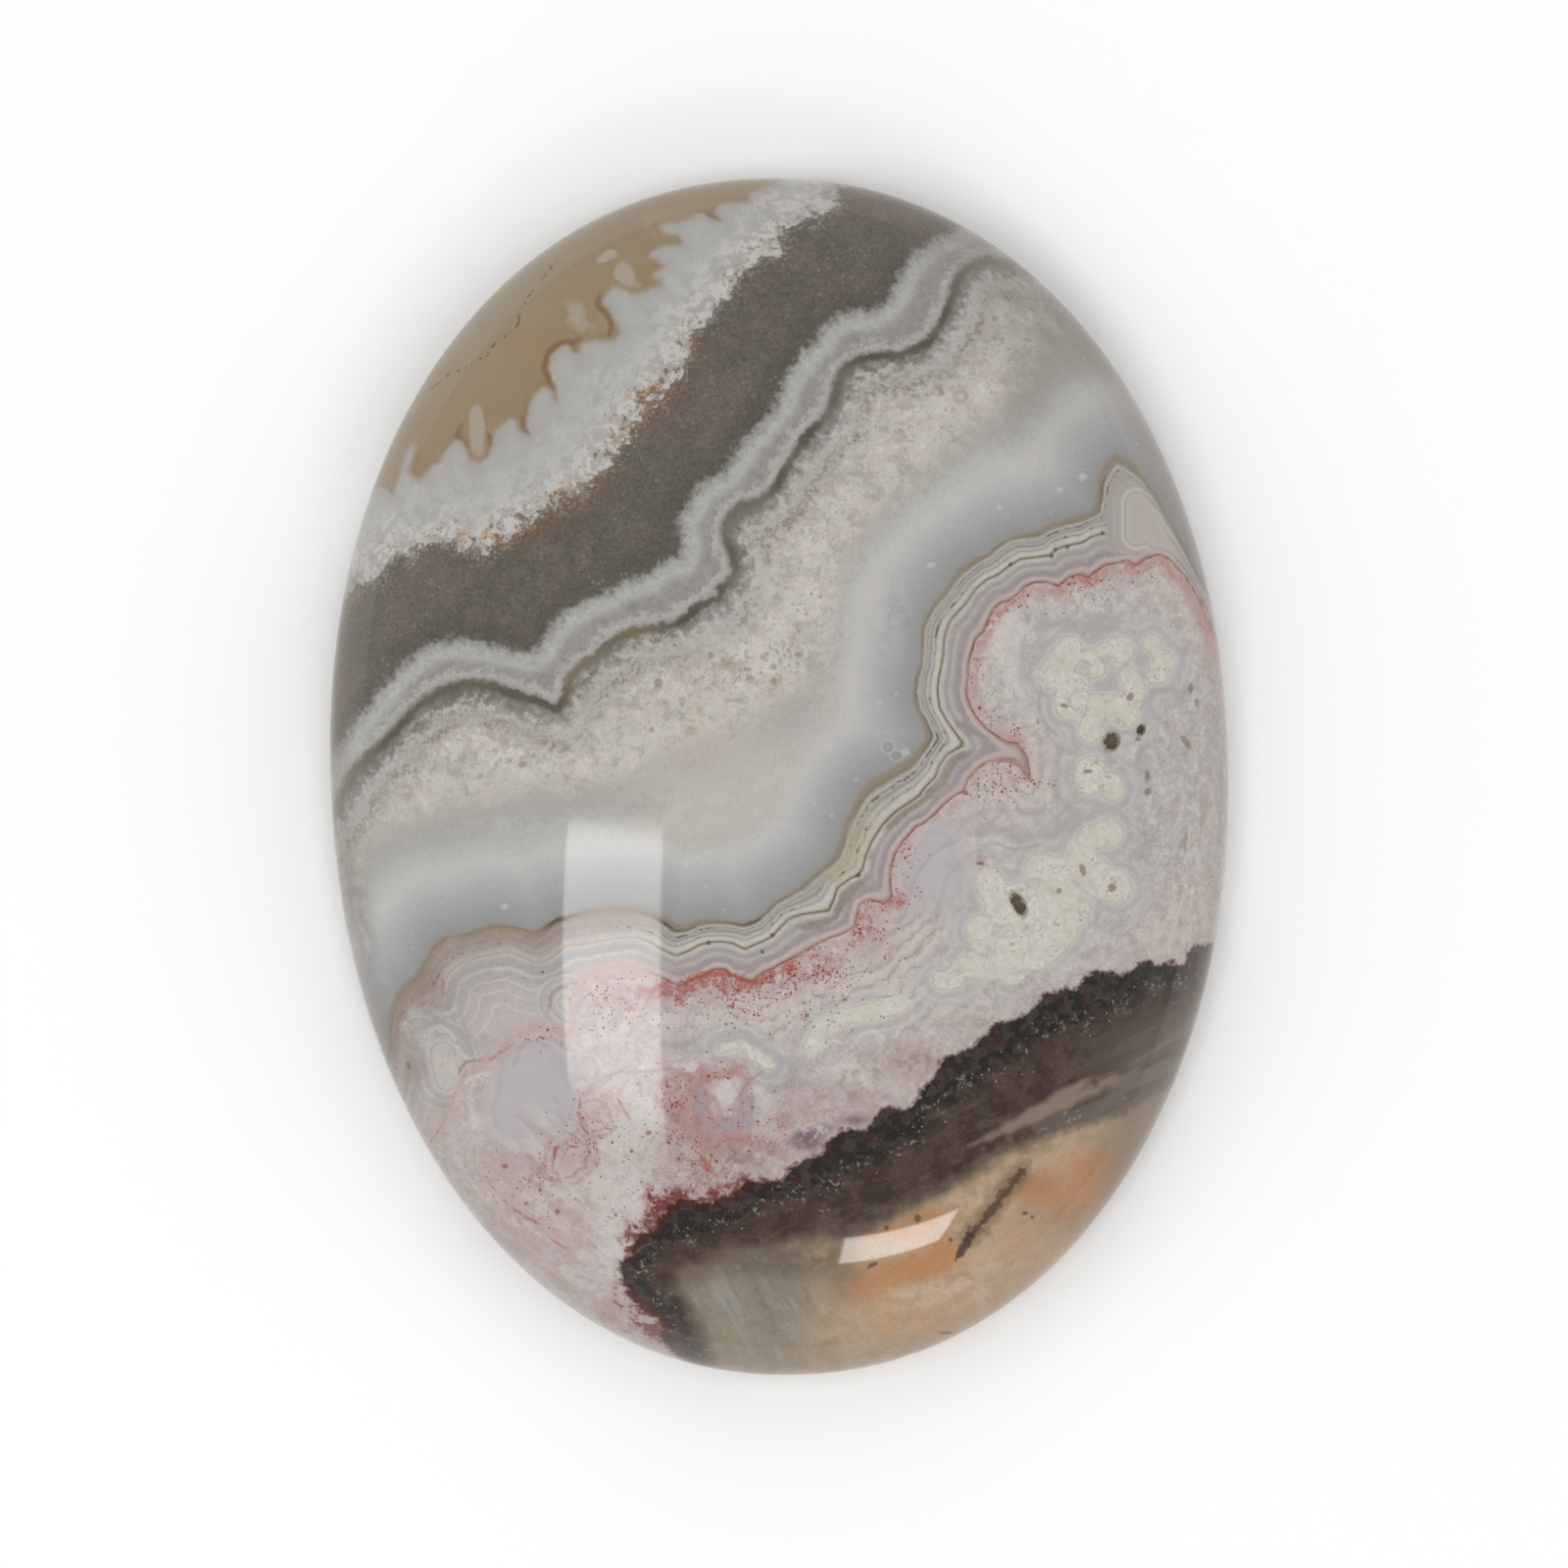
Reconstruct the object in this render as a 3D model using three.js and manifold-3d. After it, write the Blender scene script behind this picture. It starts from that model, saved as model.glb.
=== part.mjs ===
// An oval cabochon cut from banded agate: a stone with a polished dome, a narrow girdle that stands
// straight up, a bevel under it and a flat back. It was ground from one piece of rock and is one solid.
// Millimetres, +Z up. The flat back lies on z = 0 with the oval's centre at the origin, the long axis
// runs along Y and the short axis along X.

import * as THREE from "three";
import { mergeVertices } from "three/addons/utils/BufferGeometryUtils.js";
import Module from "manifold-3d";

// The oval, a 40 x 30 calibrated size
const LENGTH = 40;
const WIDTH = 30;
const OVAL_POWER = 2.095; // 2 is a plain ellipse; the cut stone is a touch squarer
const BROADER_END = 0.0133; // the +Y end is broader than the -Y end by this share

// The profile, from the back up
const HEIGHT = 7.5;
const BEVEL_HEIGHT = 0.5;
const BEVEL_WIDTH = 0.6;
const GIRDLE_TOP = 1.4;
const DOME_POWER = 2.15; // 2 is a plain ellipse; the dome's shoulder is a little fuller

// Facets
const TURNS = 96;
const DOME_STEPS = 24;

// Open vugs, the small natural hollows that the cut laid bare. Each is a shallow bowl in the dome.
const VUGS = [
  { x: 10.93, y: 0.78, width: 0.5, length: 0.62, turn: -25 },
  { x: 11.9, y: 1.11, width: 0.26, length: 0.36, turn: -30 },
  { x: 7.68, y: -4.39, width: 0.42, length: 0.84, turn: 30 },
];
const VUG_DEPTH = 0.24;
const VUG_SIDES = 12;
const VUG_RINGS = 6;

const signedPower = (value, power) => Math.sign(value) * Math.abs(value) ** power;

// The half profile, as x = share of the oval's radius and y = height. It starts and ends on the axis.
function profile() {
  const points = [new THREE.Vector2(0, 0)];
  const backEdge = 1 - (2 * BEVEL_WIDTH) / WIDTH;
  points.push(new THREE.Vector2(backEdge / 2, 0));
  points.push(new THREE.Vector2(backEdge, 0));
  points.push(new THREE.Vector2(1, BEVEL_HEIGHT));
  for (let step = 0; step <= DOME_STEPS; step++) {
    const turn = (step / DOME_STEPS) * (Math.PI / 2);
    const share = step === DOME_STEPS ? 0 : Math.cos(turn) ** (2 / DOME_POWER);
    const rise = Math.sin(turn) ** (2 / DOME_POWER);
    points.push(new THREE.Vector2(share, GIRDLE_TOP + (HEIGHT - GIRDLE_TOP) * rise));
  }
  return points;
}

// The turned blank is round; each point goes out to the oval along its own direction.
function roundToOval(geometry) {
  const place = geometry.getAttribute("position");
  for (let i = 0; i < place.count; i++) {
    const share = Math.hypot(place.getX(i), place.getY(i));
    if (share === 0) continue;
    const along = signedPower(place.getY(i) / share, 2 / OVAL_POWER);
    const across = signedPower(place.getX(i) / share, 2 / OVAL_POWER);
    const y = (share * along * LENGTH) / 2;
    const broader = 1 + (BROADER_END * y) / (LENGTH / 2);
    place.setXY(i, (share * across * broader * WIDTH) / 2, y);
  }
  return geometry;
}

function blank() {
  const turned = new THREE.LatheGeometry(profile(), TURNS);
  turned.rotateX(Math.PI / 2); // the lathe turns about Y, and the stone's axis is Z
  return roundToOval(turned);
}

// Height of the dome over a point of the oval
function domeHeight(x, y) {
  const broader = 1 + (BROADER_END * y) / (LENGTH / 2);
  const across = Math.abs(x / broader / (WIDTH / 2)) ** OVAL_POWER;
  const along = Math.abs(y / (LENGTH / 2)) ** OVAL_POWER;
  const share = (across + along) ** (1 / OVAL_POWER);
  return GIRDLE_TOP + (HEIGHT - GIRDLE_TOP) * (1 - share ** DOME_POWER) ** (1 / DOME_POWER);
}

// The cutter for one vug: an egg as deep below the dome as it stands above it
function vugCutter({ x, y, width, length, turn }) {
  const egg = new THREE.SphereGeometry(1, VUG_SIDES, VUG_RINGS);
  egg.scale(width / 2, length / 2, VUG_DEPTH);
  egg.rotateZ(THREE.MathUtils.degToRad(turn));
  egg.translate(x, y, domeHeight(x, y));
  return egg;
}

const wasm = await Module();
wasm.setup();

function solidOf(geometry) {
  const bare = geometry.clone();
  bare.deleteAttribute("normal");
  bare.deleteAttribute("uv");
  const merged = mergeVertices(bare, 1e-4);
  return new wasm.Manifold(
    new wasm.Mesh({
      numProp: 3,
      vertProperties: merged.getAttribute("position").array,
      triVerts: new Uint32Array(merged.index.array),
    }),
  );
}

function geometryOf(solid) {
  const { vertProperties, triVerts } = solid.getMesh();
  const geometry = new THREE.BufferGeometry();
  geometry.setAttribute("position", new THREE.BufferAttribute(vertProperties, 3));
  geometry.setIndex(new THREE.BufferAttribute(triVerts, 1));
  geometry.computeVertexNormals();
  return geometry;
}

const agate = new THREE.MeshStandardMaterial({ color: 0xb9b2ad, roughness: 0.1, metalness: 0 });

const stone = new THREE.Mesh(
  geometryOf(VUGS.reduce((solid, vug) => solid.subtract(solidOf(vugCutter(vug))), solidOf(blank()))),
  agate,
);
stone.name = "cabochon";

const cabochon = new THREE.Group();
cabochon.add(stone);

export default cabochon;
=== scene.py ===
import math

import bpy
import numpy as np
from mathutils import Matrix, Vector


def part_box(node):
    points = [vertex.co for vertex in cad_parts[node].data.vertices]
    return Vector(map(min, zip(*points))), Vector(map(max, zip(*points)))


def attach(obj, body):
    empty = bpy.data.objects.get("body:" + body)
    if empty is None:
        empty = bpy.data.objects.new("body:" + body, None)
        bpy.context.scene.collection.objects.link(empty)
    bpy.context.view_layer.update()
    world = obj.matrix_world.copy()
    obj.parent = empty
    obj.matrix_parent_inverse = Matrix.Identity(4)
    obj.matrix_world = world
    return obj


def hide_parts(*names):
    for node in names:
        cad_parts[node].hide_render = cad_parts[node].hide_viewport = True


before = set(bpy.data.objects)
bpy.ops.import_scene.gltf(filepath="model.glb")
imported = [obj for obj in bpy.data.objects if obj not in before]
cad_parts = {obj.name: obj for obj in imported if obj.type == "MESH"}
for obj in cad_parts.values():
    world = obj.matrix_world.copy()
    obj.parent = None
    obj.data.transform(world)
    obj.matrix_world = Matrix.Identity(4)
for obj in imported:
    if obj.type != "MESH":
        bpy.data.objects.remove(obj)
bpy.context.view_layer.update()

# The camera stands straight above the stone, square to its flat back, and is turned so that the
# stone leans a little to the left, as it does in the photograph.
MM = 0.001
GIRDLE_TOP = 1.4  # mm above the flat back, the plane on which the photograph is measured
PHOTO_SIDE = 1600  # pixels
PIXELS_PER_MM = 30.53
OVAL_CENTRE = (795.5, 792.5)  # pixel on which the stone's own axis stands
LEAN = 0.0326  # radians
LENS = 150
SENSOR = 36
FRAME_WIDTH = PHOTO_SIDE / PIXELS_PER_MM
CAMERA_RISE = FRAME_WIDTH * LENS / SENSOR  # mm above the girdle


def stone_place(pixels):
    """Pixels of the photograph as millimetres on the girdle plane, along the stone's own axes."""
    pixels = np.asarray(pixels, dtype=float)
    right = (pixels[..., 0] - OVAL_CENTRE[0]) / PIXELS_PER_MM
    up = (OVAL_CENTRE[1] - pixels[..., 1]) / PIXELS_PER_MM
    return np.stack(
        [right * math.cos(LEAN) + up * math.sin(LEAN), up * math.cos(LEAN) - right * math.sin(LEAN)], axis=-1
    )


camera_place = stone_place((PHOTO_SIDE / 2, PHOTO_SIDE / 2))
camera = bpy.data.objects.new("camera", bpy.data.cameras.new("camera"))
camera.data.sensor_width = SENSOR
camera.data.lens = LENS
camera.data.clip_start = 0.001
camera.location = (camera_place[0] * MM, camera_place[1] * MM, (GIRDLE_TOP + CAMERA_RISE) * MM)
camera.rotation_euler = (0, 0, -LEAN)
bpy.context.scene.collection.objects.link(camera)
bpy.context.scene.camera = camera


# The blank is the round slice that the lapidary starts from: a cylinder of radius 1 and height 1,
# in rings of vertices that lie an even way apart on the finished dome. Near the open vugs they are
# drawn together, so that the small hollows get enough of them.
low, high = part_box("cabochon")
LENGTH = (high[1] - low[1]) / MM
WIDTH = (high[0] - low[0]) / MM
HEIGHT = high[2] / MM
OVAL_POWER = 2.095
BROADER_END = 0.0133  # share by which the stone is broader at the upper end, and narrower at the lower
BEVEL_HEIGHT = 0.5  # mm
BEVEL_WIDTH = 0.6  # mm
BEVEL_SOFTNESS = 0.12  # share of the bevel's height over which its upper edge is rounded
DOME_POWER = 2.15
DOME_RINGS = 168
DOME_STEPS = 4000  # short steps in which the dome's curve is measured
WALL_RINGS = 6
BACK_RINGS = 40
VUGS = [
    {"x": 10.93, "y": 0.78, "width": 0.5, "length": 0.62, "turn": -25},
    {"x": 11.9, "y": 1.11, "width": 0.26, "length": 0.36, "turn": -30},
    {"x": 7.68, "y": -4.39, "width": 0.42, "length": 0.84, "turn": 30},
]
VUG_DEPTH = 0.24
GATHER_REACH = 1.5  # mm round a vug within which vertices are drawn towards it
GATHER_PULL = 0.62  # share of the way that they are drawn


def blank_place(x, y):
    """Where a point of the oval lies on the round blank."""
    across = abs(x / (WIDTH / 2)) ** OVAL_POWER
    along = abs(y / (LENGTH / 2)) ** OVAL_POWER
    share = (across + along) ** (1 / OVAL_POWER)
    turn = math.atan2(
        math.copysign((along / (across + along)) ** 0.5, y),
        math.copysign((across / (across + along)) ** 0.5, x),
    )
    return share * math.cos(turn), share * math.sin(turn)


def dome_way():
    """Radius shares from the dome's top down to the girdle, and the way in mm along the curve to each."""
    turn = np.linspace(math.pi / 2, 0, DOME_STEPS)
    share = np.cos(turn).clip(0) ** (2 / DOME_POWER)
    rise = np.sin(turn) ** (2 / DOME_POWER)
    steps = np.hypot(np.diff(share) * (WIDTH + LENGTH) / 4, np.diff(rise) * (HEIGHT - GIRDLE_TOP))
    return share, np.concatenate([[0], np.cumsum(steps)])


def blank_rings():
    """Radius, height and number of vertices of each ring, from the dome's top round to the back."""
    painted_rim_shade = 6 * DOME_RINGS
    share, way = dome_way()
    even = np.interp(np.linspace(0, way[-1], DOME_RINGS + 1)[1:], way, share)
    rings = [(radius, 1.0, 6 * (k + 1)) for k, radius in enumerate(even)]
    rings += [(1.0, 1 - (k + 1) / WALL_RINGS, painted_rim_shade) for k in range(WALL_RINGS)]
    rings += [(k / BACK_RINGS, 0.0, 6 * k) for k in range(BACK_RINGS - 1, 0, -1)]
    return rings


def blank_mesh():
    """The blank as vertices and triangles, each ring zipped to the next by angle."""
    places = [(0.0, 0.0, 1.0)]
    starts = []
    for radius, height, count in blank_rings():
        starts.append((len(places), count))
        for k in range(count):
            turn = 2 * math.pi * k / count
            places.append((radius * math.cos(turn), radius * math.sin(turn), height))
    places.append((0.0, 0.0, 0.0))
    faces = [(0, 1 + k, 1 + (k + 1) % 6) for k in range(6)]
    for (outer, many), (inner, few) in zip(starts, starts[1:]):
        i = j = 0
        while i < many or j < few:
            if j == few or (i < many and (i + 1) * few <= (j + 1) * many):
                faces.append((outer + i % many, inner + j % few, outer + (i + 1) % many))
                i += 1
            else:
                faces.append((outer + i % many, inner + j % few, inner + (j + 1) % few))
                j += 1
    last = starts[-1][0]
    faces += [(last + k, len(places) - 1, last + (k + 1) % 6) for k in range(6)]
    places = np.array(places)
    for vug in VUGS:
        centre = np.array(blank_place(vug["x"], vug["y"]))
        away = places[:, :2] - centre
        far = np.hypot(*away.T) * WIDTH / 2 / GATHER_REACH
        pull = GATHER_PULL * np.clip(1 - far * far, 0, 1) ** 2 * (places[:, 2] == 1)
        places[:, :2] -= away * pull[:, None]
    mesh = bpy.data.meshes.new("agate_cabochon")
    mesh.from_pydata([tuple(place) for place in places], [], faces)
    mesh.validate()
    return mesh


class Wire:
    """A socket of a node tree. A sum of wires becomes Math nodes, and add() makes any other node."""

    def __init__(self, tree, socket=None):
        self.tree = tree
        self.socket = socket

    def add(self, kind, settings=None, sockets=None, out=0):
        node = self.tree.nodes.new(kind)
        for name, value in (settings or {}).items():
            if name == "stops":
                ramp = node.color_ramp
                for place, colour in value[:-2]:
                    ramp.elements.new(place).color = colour
                for element, (place, colour) in zip(sorted(ramp.elements, key=lambda e: e.position), value):
                    element.position = place
                    element.color = colour
            else:
                setattr(node, name, value)
        for name, value in (sockets or {}).items():
            if isinstance(value, Wire):
                self.tree.links.new(value.socket, node.inputs[name])
            else:
                node.inputs[name].default_value = value
        return Wire(self.tree, node.outputs[out])

    def sum(self, operation, *values):
        return self.add("ShaderNodeMath", {"operation": operation}, dict(enumerate(values)))

    def __add__(self, other):
        return self.sum("ADD", self, other)

    def __sub__(self, other):
        return self.sum("SUBTRACT", self, other)

    def __rsub__(self, other):
        return self.sum("SUBTRACT", other, self)

    def __mul__(self, other):
        return self.sum("MULTIPLY", self, other)

    def __truediv__(self, other):
        return self.sum("DIVIDE", self, other)

    def __rtruediv__(self, other):
        return self.sum("DIVIDE", other, self)

    def __pow__(self, other):
        return self.sum("POWER", self, other)

    def __abs__(self):
        return self.sum("ABSOLUTE", self)

    __radd__ = __add__
    __rmul__ = __mul__

    def at_least(self, other):
        return self.sum("MAXIMUM", self, other)

    def sign(self):
        return self.sum("SIGN", self)

    def coat(self, over, mask):
        """From now on the wire stands for its colour with another one painted over it."""
        self.socket = paint(self, over, mask).socket


# Grinding turns the round blank into the cabochon: an oval a touch squarer than an ellipse, a dome,
# an upright girdle, a bevel with a softened edge and a flat back. Each vug is a bowl in the dome.
agate = bpy.data.materials.new("crazy lace agate")
agate.use_nodes = True
agate.node_tree.nodes.clear()


def grinding_tree():
    tree = bpy.data.node_groups.new("grind cabochon", "GeometryNodeTree")
    tree.interface.new_socket("Geometry", in_out="INPUT", socket_type="NodeSocketGeometry")
    sizes = {
        "Length": LENGTH,
        "Width": WIDTH,
        "Height": HEIGHT,
        "Girdle Top": GIRDLE_TOP,
        "Bevel Height": BEVEL_HEIGHT,
        "Bevel Width": BEVEL_WIDTH,
        "Oval Power": OVAL_POWER,
        "Dome Power": DOME_POWER,
        "Broader End": BROADER_END,
        "Vug Depth": VUG_DEPTH,
    }
    for name in sizes:
        tree.interface.new_socket(name, in_out="INPUT", socket_type="NodeSocketFloat")
    tree.interface.new_socket("Geometry", in_out="OUTPUT", socket_type="NodeSocketGeometry")
    entry = tree.nodes.new("NodeGroupInput")
    start = Wire(tree)
    size = {name: Wire(tree, entry.outputs[name]) for name in sizes}

    place = start.add("GeometryNodeInputPosition")
    split = place.add("ShaderNodeSeparateXYZ", sockets={0: place}).socket.node
    x, y, level = [Wire(tree, socket) for socket in split.outputs]
    share = ((x * x + y * y) ** 0.5).at_least(1e-6)
    along = y.sign() * abs(y / share) ** (2 / size["Oval Power"])
    across = x.sign() * abs(x / share) ** (2 / size["Oval Power"])
    plan_y = share * along * size["Length"] / 2
    plan_x = share * across * (plan_y * size["Broader End"] * 2 / size["Length"] + 1) * size["Width"] / 2

    hollow = (1 - share ** size["Dome Power"]).at_least(0)
    dome = (size["Height"] - size["Girdle Top"]) * hollow ** (1 / size["Dome Power"])
    height = level * (size["Girdle Top"] + dome)
    under = (size["Bevel Height"] - height) / size["Bevel Height"]
    bevel = (under + (under * under + BEVEL_SOFTNESS**2) ** 0.5) / 2
    inset = 1 - bevel * size["Bevel Width"] * 2 / size["Width"]

    for vug in VUGS:
        turn = math.radians(vug["turn"])
        right = plan_x - vug["x"]
        up = plan_y - vug["y"]
        u = (right * math.cos(turn) + up * math.sin(turn)) / (vug["width"] / 2)
        v = (up * math.cos(turn) - right * math.sin(turn)) / (vug["length"] / 2)
        bowl = (1 - u * u - v * v).at_least(0) ** 0.5
        height = height - level * bowl * size["Vug Depth"]

    ground = start.add(
        "ShaderNodeCombineXYZ", sockets={0: plan_x * inset * MM, 1: plan_y * inset * MM, 2: height * MM}
    )
    blank = Wire(tree, entry.outputs["Geometry"])
    stone = start.add("GeometryNodeSetPosition", sockets={0: blank, 2: ground})
    whole = start.add("GeometryNodeRealizeInstances", sockets={0: stone})
    whole = start.add("GeometryNodeSetMaterial", sockets={0: whole, "Material": agate})
    tree.links.new(whole.socket, tree.nodes.new("NodeGroupOutput").inputs[0])
    return tree, sizes


SHARP_FOLD = math.radians(32)  # the vugs' rims and the edge between bevel and back fold more than this

rough_stone = bpy.data.objects.new("rough_stone", blank_mesh())
bpy.context.scene.collection.objects.link(rough_stone)
grinding = rough_stone.modifiers.new("grinding", "NODES")
grinding.node_group, grinding_sizes = grinding_tree()
for item in grinding.node_group.interface.items_tree:
    if item.name in grinding_sizes:
        grinding[item.identifier] = grinding_sizes[item.name]
bpy.context.view_layer.update()
ground_stone = rough_stone.evaluated_get(bpy.context.evaluated_depsgraph_get())
stone_mesh = bpy.data.meshes.new_from_object(ground_stone)
stone_mesh.name = "agate_cabochon"
cabochon = bpy.data.objects.new("agate_cabochon", stone_mesh)
bpy.context.scene.collection.objects.link(cabochon)
bpy.data.objects.remove(rough_stone)
stone_mesh.shade_smooth()
stone_mesh.set_sharp_from_angle(angle=SHARP_FOLD)

# The bands grew one on the other, from the tan corner to the orange one, so each front between two of
# them is a sheet through the whole stone. A vertex of the mesh keeps how far it lies past each front,
# in millimetres. On the dome this is read where the camera sees the vertex; below, the sheets dip.
DIP = (0.42, -0.30)  # mm sideways for each mm down
SWAY = 0.07  # mm of waver for each mm down
SWAY_TURNS = (0.9, 0.7)  # radians of that waver for each mm along the other axis
SAME_HEIGHT = 0.001  # mm
BACK_SKIN = 0.02  # mm over the back, below which a vertex belongs to it
FAR = 60.0  # mm
NIB = 0.13  # mm that a drawn line runs on past its end

vertex_count = len(stone_mesh.vertices)
vertex_place = np.empty(vertex_count * 3)
stone_mesh.vertices.foreach_get("co", vertex_place)
vertex_place = vertex_place.reshape(-1, 3) / MM


def dome_at(x, y):
    """Share of the oval's radius at a point, and the dome's height over it."""
    across = abs(x / (1 + BROADER_END * y * 2 / LENGTH) * 2 / WIDTH) ** OVAL_POWER
    share = (across + abs(y * 2 / LENGTH) ** OVAL_POWER) ** (1 / OVAL_POWER)
    rise = np.clip(1 - share**DOME_POWER, 0, 1) ** (1 / DOME_POWER)
    return share, GIRDLE_TOP + (HEIGHT - GIRDLE_TOP) * rise


def seen_through(place, height):
    """Where the camera sees a point of the given height, on the girdle plane."""
    nearer = CAMERA_RISE / (CAMERA_RISE - (height - GIRDLE_TOP))
    return camera_place + (place - camera_place) * np.asarray(nearer)[..., None]


dome_share, dome_height = dome_at(*vertex_place[:, :2].T)
depth = (dome_height - vertex_place[:, 2]) * (vertex_place[:, 2] < GIRDLE_TOP + SAME_HEIGHT)
seen_at = seen_through(vertex_place[:, :2], dome_height) + depth[:, None] * np.array(DIP)
seen_at[:, 0] += SWAY * depth * np.sin(seen_at[:, 1] * SWAY_TURNS[0])
seen_at[:, 1] += SWAY * depth * np.sin(seen_at[:, 0] * SWAY_TURNS[1] + 1)

# A map on which the looks can be baked: the dome and the wall as one flat oval, the back as a small one.
FRONT_OVAL = {"centre": (0.375, 0.5), "reach": (0.366, 0.488)}
BACK_OVAL = {"centre": (0.87, 0.5), "reach": (0.12, 0.16)}
bake_map = stone_mesh.uv_layers.new(name="OFBake")
corners = np.empty(len(stone_mesh.loops), dtype=np.int32)
stone_mesh.loops.foreach_get("vertex_index", corners)
plan = vertex_place[:, :2] / (WIDTH / 2, LENGTH / 2)
shares, ways = dome_way()
way_out = np.interp(dome_share, shares, ways)
below = GIRDLE_TOP - vertex_place[:, 2]
way_out = np.where(below > SAME_HEIGHT, ways[-1] + below, way_out)
unrolled = plan / np.maximum(dome_share, 1e-6)[:, None] * (way_out / (ways[-1] + GIRDLE_TOP))[:, None]
on_back = (vertex_place[corners, 2].reshape(-1, 3) < BACK_SKIN).all(axis=1).repeat(3)[:, None]
flat = np.where(
    on_back,
    BACK_OVAL["centre"] + plan[corners] * BACK_OVAL["reach"],
    FRONT_OVAL["centre"] + unrolled[corners] * FRONT_OVAL["reach"],
)
bake_map.data.foreach_set("uv", flat.astype(np.float32).ravel())

stone = Wire(agate.node_tree)


def keep(values):
    """Store one number a vertex and give its wire in the material."""
    layer = stone_mesh.attributes.new(f"field_{len(stone_mesh.attributes)}", "FLOAT", "POINT")
    layer.data.foreach_set("value", np.asarray(values, dtype=np.float32))
    return stone.add("ShaderNodeAttribute", {"attribute_name": layer.name}, out="Fac")


def way_to(line):
    """Distance of every vertex from a line of points, how far along it, and on which side."""
    best = np.full(vertex_count, np.inf)
    run = np.zeros(vertex_count)
    side = np.ones(vertex_count)
    start = 0.0
    for a, b in zip(line, line[1:]):
        step = b - a
        length = max(np.hypot(*step), 1e-6)
        away = seen_at - a
        along = (away @ step / length).clip(0, length)
        gap = np.hypot(*(away - np.outer(along / length, step)).T)
        near = gap < best
        best[near] = gap[near]
        run[near] = start + along[near]
        side[near] = np.where(step[0] * away[near, 1] < step[1] * away[near, 0], 1, -1)
        start += length
    return best, run, side


def inside(line):
    """Whether each vertex is inside a closed line of points."""
    odd = np.zeros(vertex_count, dtype=bool)
    x, y = seen_at.T
    for (ax, ay), (bx, by) in zip(line, np.roll(line, -1, axis=0)):
        if ay != by:
            odd ^= ((ay > y) != (by > y)) & (x < (bx - ax) * (y - ay) / (by - ay) + ax)
    return odd


def front(pixels, with_run=False):
    """How far past a growth front the stone lies, and how far along it. It runs on straight at its ends."""
    line = stone_place(pixels)
    first = line[0] + (line[0] - line[2]) / np.hypot(*(line[0] - line[2])) * FAR
    last = line[-1] + (line[-1] - line[-3]) / np.hypot(*(line[-1] - line[-3])) * FAR
    line = np.vstack([first, line, last])
    corner = np.array([FAR, -FAR]) * 3  # well beyond the orange corner, so that the far side is closed
    beyond = inside(np.vstack([line, [(corner[0], last[1]), corner, (first[0], corner[1])]]))
    far, run, _ = way_to(line)
    past = keep(np.where(beyond, 1, -1) * far)
    return (past, keep(run)) if with_run else past


def stain(spots):
    """A soft patch of colour: x, y, reach along x, reach along y in pixels, and strength of each spot."""
    total = np.zeros(vertex_count)
    for x, y, reach_x, reach_y, strength in spots:
        away = (seen_at - stone_place((x, y))) * PIXELS_PER_MM / (reach_x, reach_y)
        total += strength * np.exp(-(away**2).sum(axis=1))
    return keep(total.clip(0, 1))


def veins(half, lines):
    """Distance from the edge of thin drawn lines, all of one half width in pixels."""
    best = np.full(vertex_count, FAR)
    across = best.copy()
    for pixels in lines:
        far, _, side = way_to(stone_place(pixels))
        across = np.where(far < best, far * side, across)
        best = np.minimum(best, far)
    return abs(keep(across)).at_least(keep(best) - NIB) - half / PIXELS_PER_MM


def lobes(bodies, blend=0.1):
    """Distance from a cluster of rounded bodies, each a radius in pixels and the points it runs through."""
    total = np.zeros(vertex_count)
    for radius, pixels in bodies:
        gap = way_to(stone_place(pixels if len(pixels) > 1 else pixels * 2))[0] - radius / PIXELS_PER_MM
        total += np.exp(-gap.clip(-3, 6) / blend)  # clipped to what exp can hold
    return keep(-blend * np.log(total.clip(1e-20)))


def tint(red, green, blue):
    """An sRGB colour from 0 to 255 as linear RGBA."""
    parts = [value / 255 for value in (red, green, blue)]
    return (*[part / 12.92 if part <= 0.04045 else ((part + 0.055) / 1.055) ** 2.4 for part in parts], 1)


def ease(value, start, end):
    """0 before start, 1 after end and smooth between them."""
    return value.add(
        "ShaderNodeMapRange",
        {"interpolation_type": "SMOOTHSTEP"},
        {"Value": value, "From Min": start, "From Max": end},
    )


def band(value, centre, half, soft):
    """1 within half of centre, fading to 0 over soft."""
    return ease(abs(value - centre), half + soft, half)


def paint(under, over, mask):
    """One colour laid over another where the mask is 1. A colour is a wire or three sRGB numbers."""
    under, over = [shade if isinstance(shade, Wire) else tint(*shade) for shade in (under, over)]
    return stone.add("ShaderNodeMix", {"data_type": "RGBA"}, {0: mask, 6: under, 7: over}, out=2)


def ramp(value, stops):
    """Colours at given values, mixed evenly between them: value, red, green, blue of each stop."""
    first, last = stops[0][0], stops[-1][0]
    stops = [((place - first) / (last - first), tint(*shade)) for place, *shade in stops]
    return stone.add("ShaderNodeValToRGB", {"stops": stops}, {0: (value - first) / (last - first)})


def lit(colour, strength):
    """A colour made lighter or darker."""
    settings = {"data_type": "RGBA", "clamp_factor": False}
    return stone.add("ShaderNodeMix", settings, {0: 1 - strength, 6: colour, 7: (0, 0, 0, 1)}, out=2)


spot = stone.add("ShaderNodeTexCoord", out="Object")
DRAWN_DOWN = 12  # stretched noise is drawn out this much along z, so that it hangs straight down the wall


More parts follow.
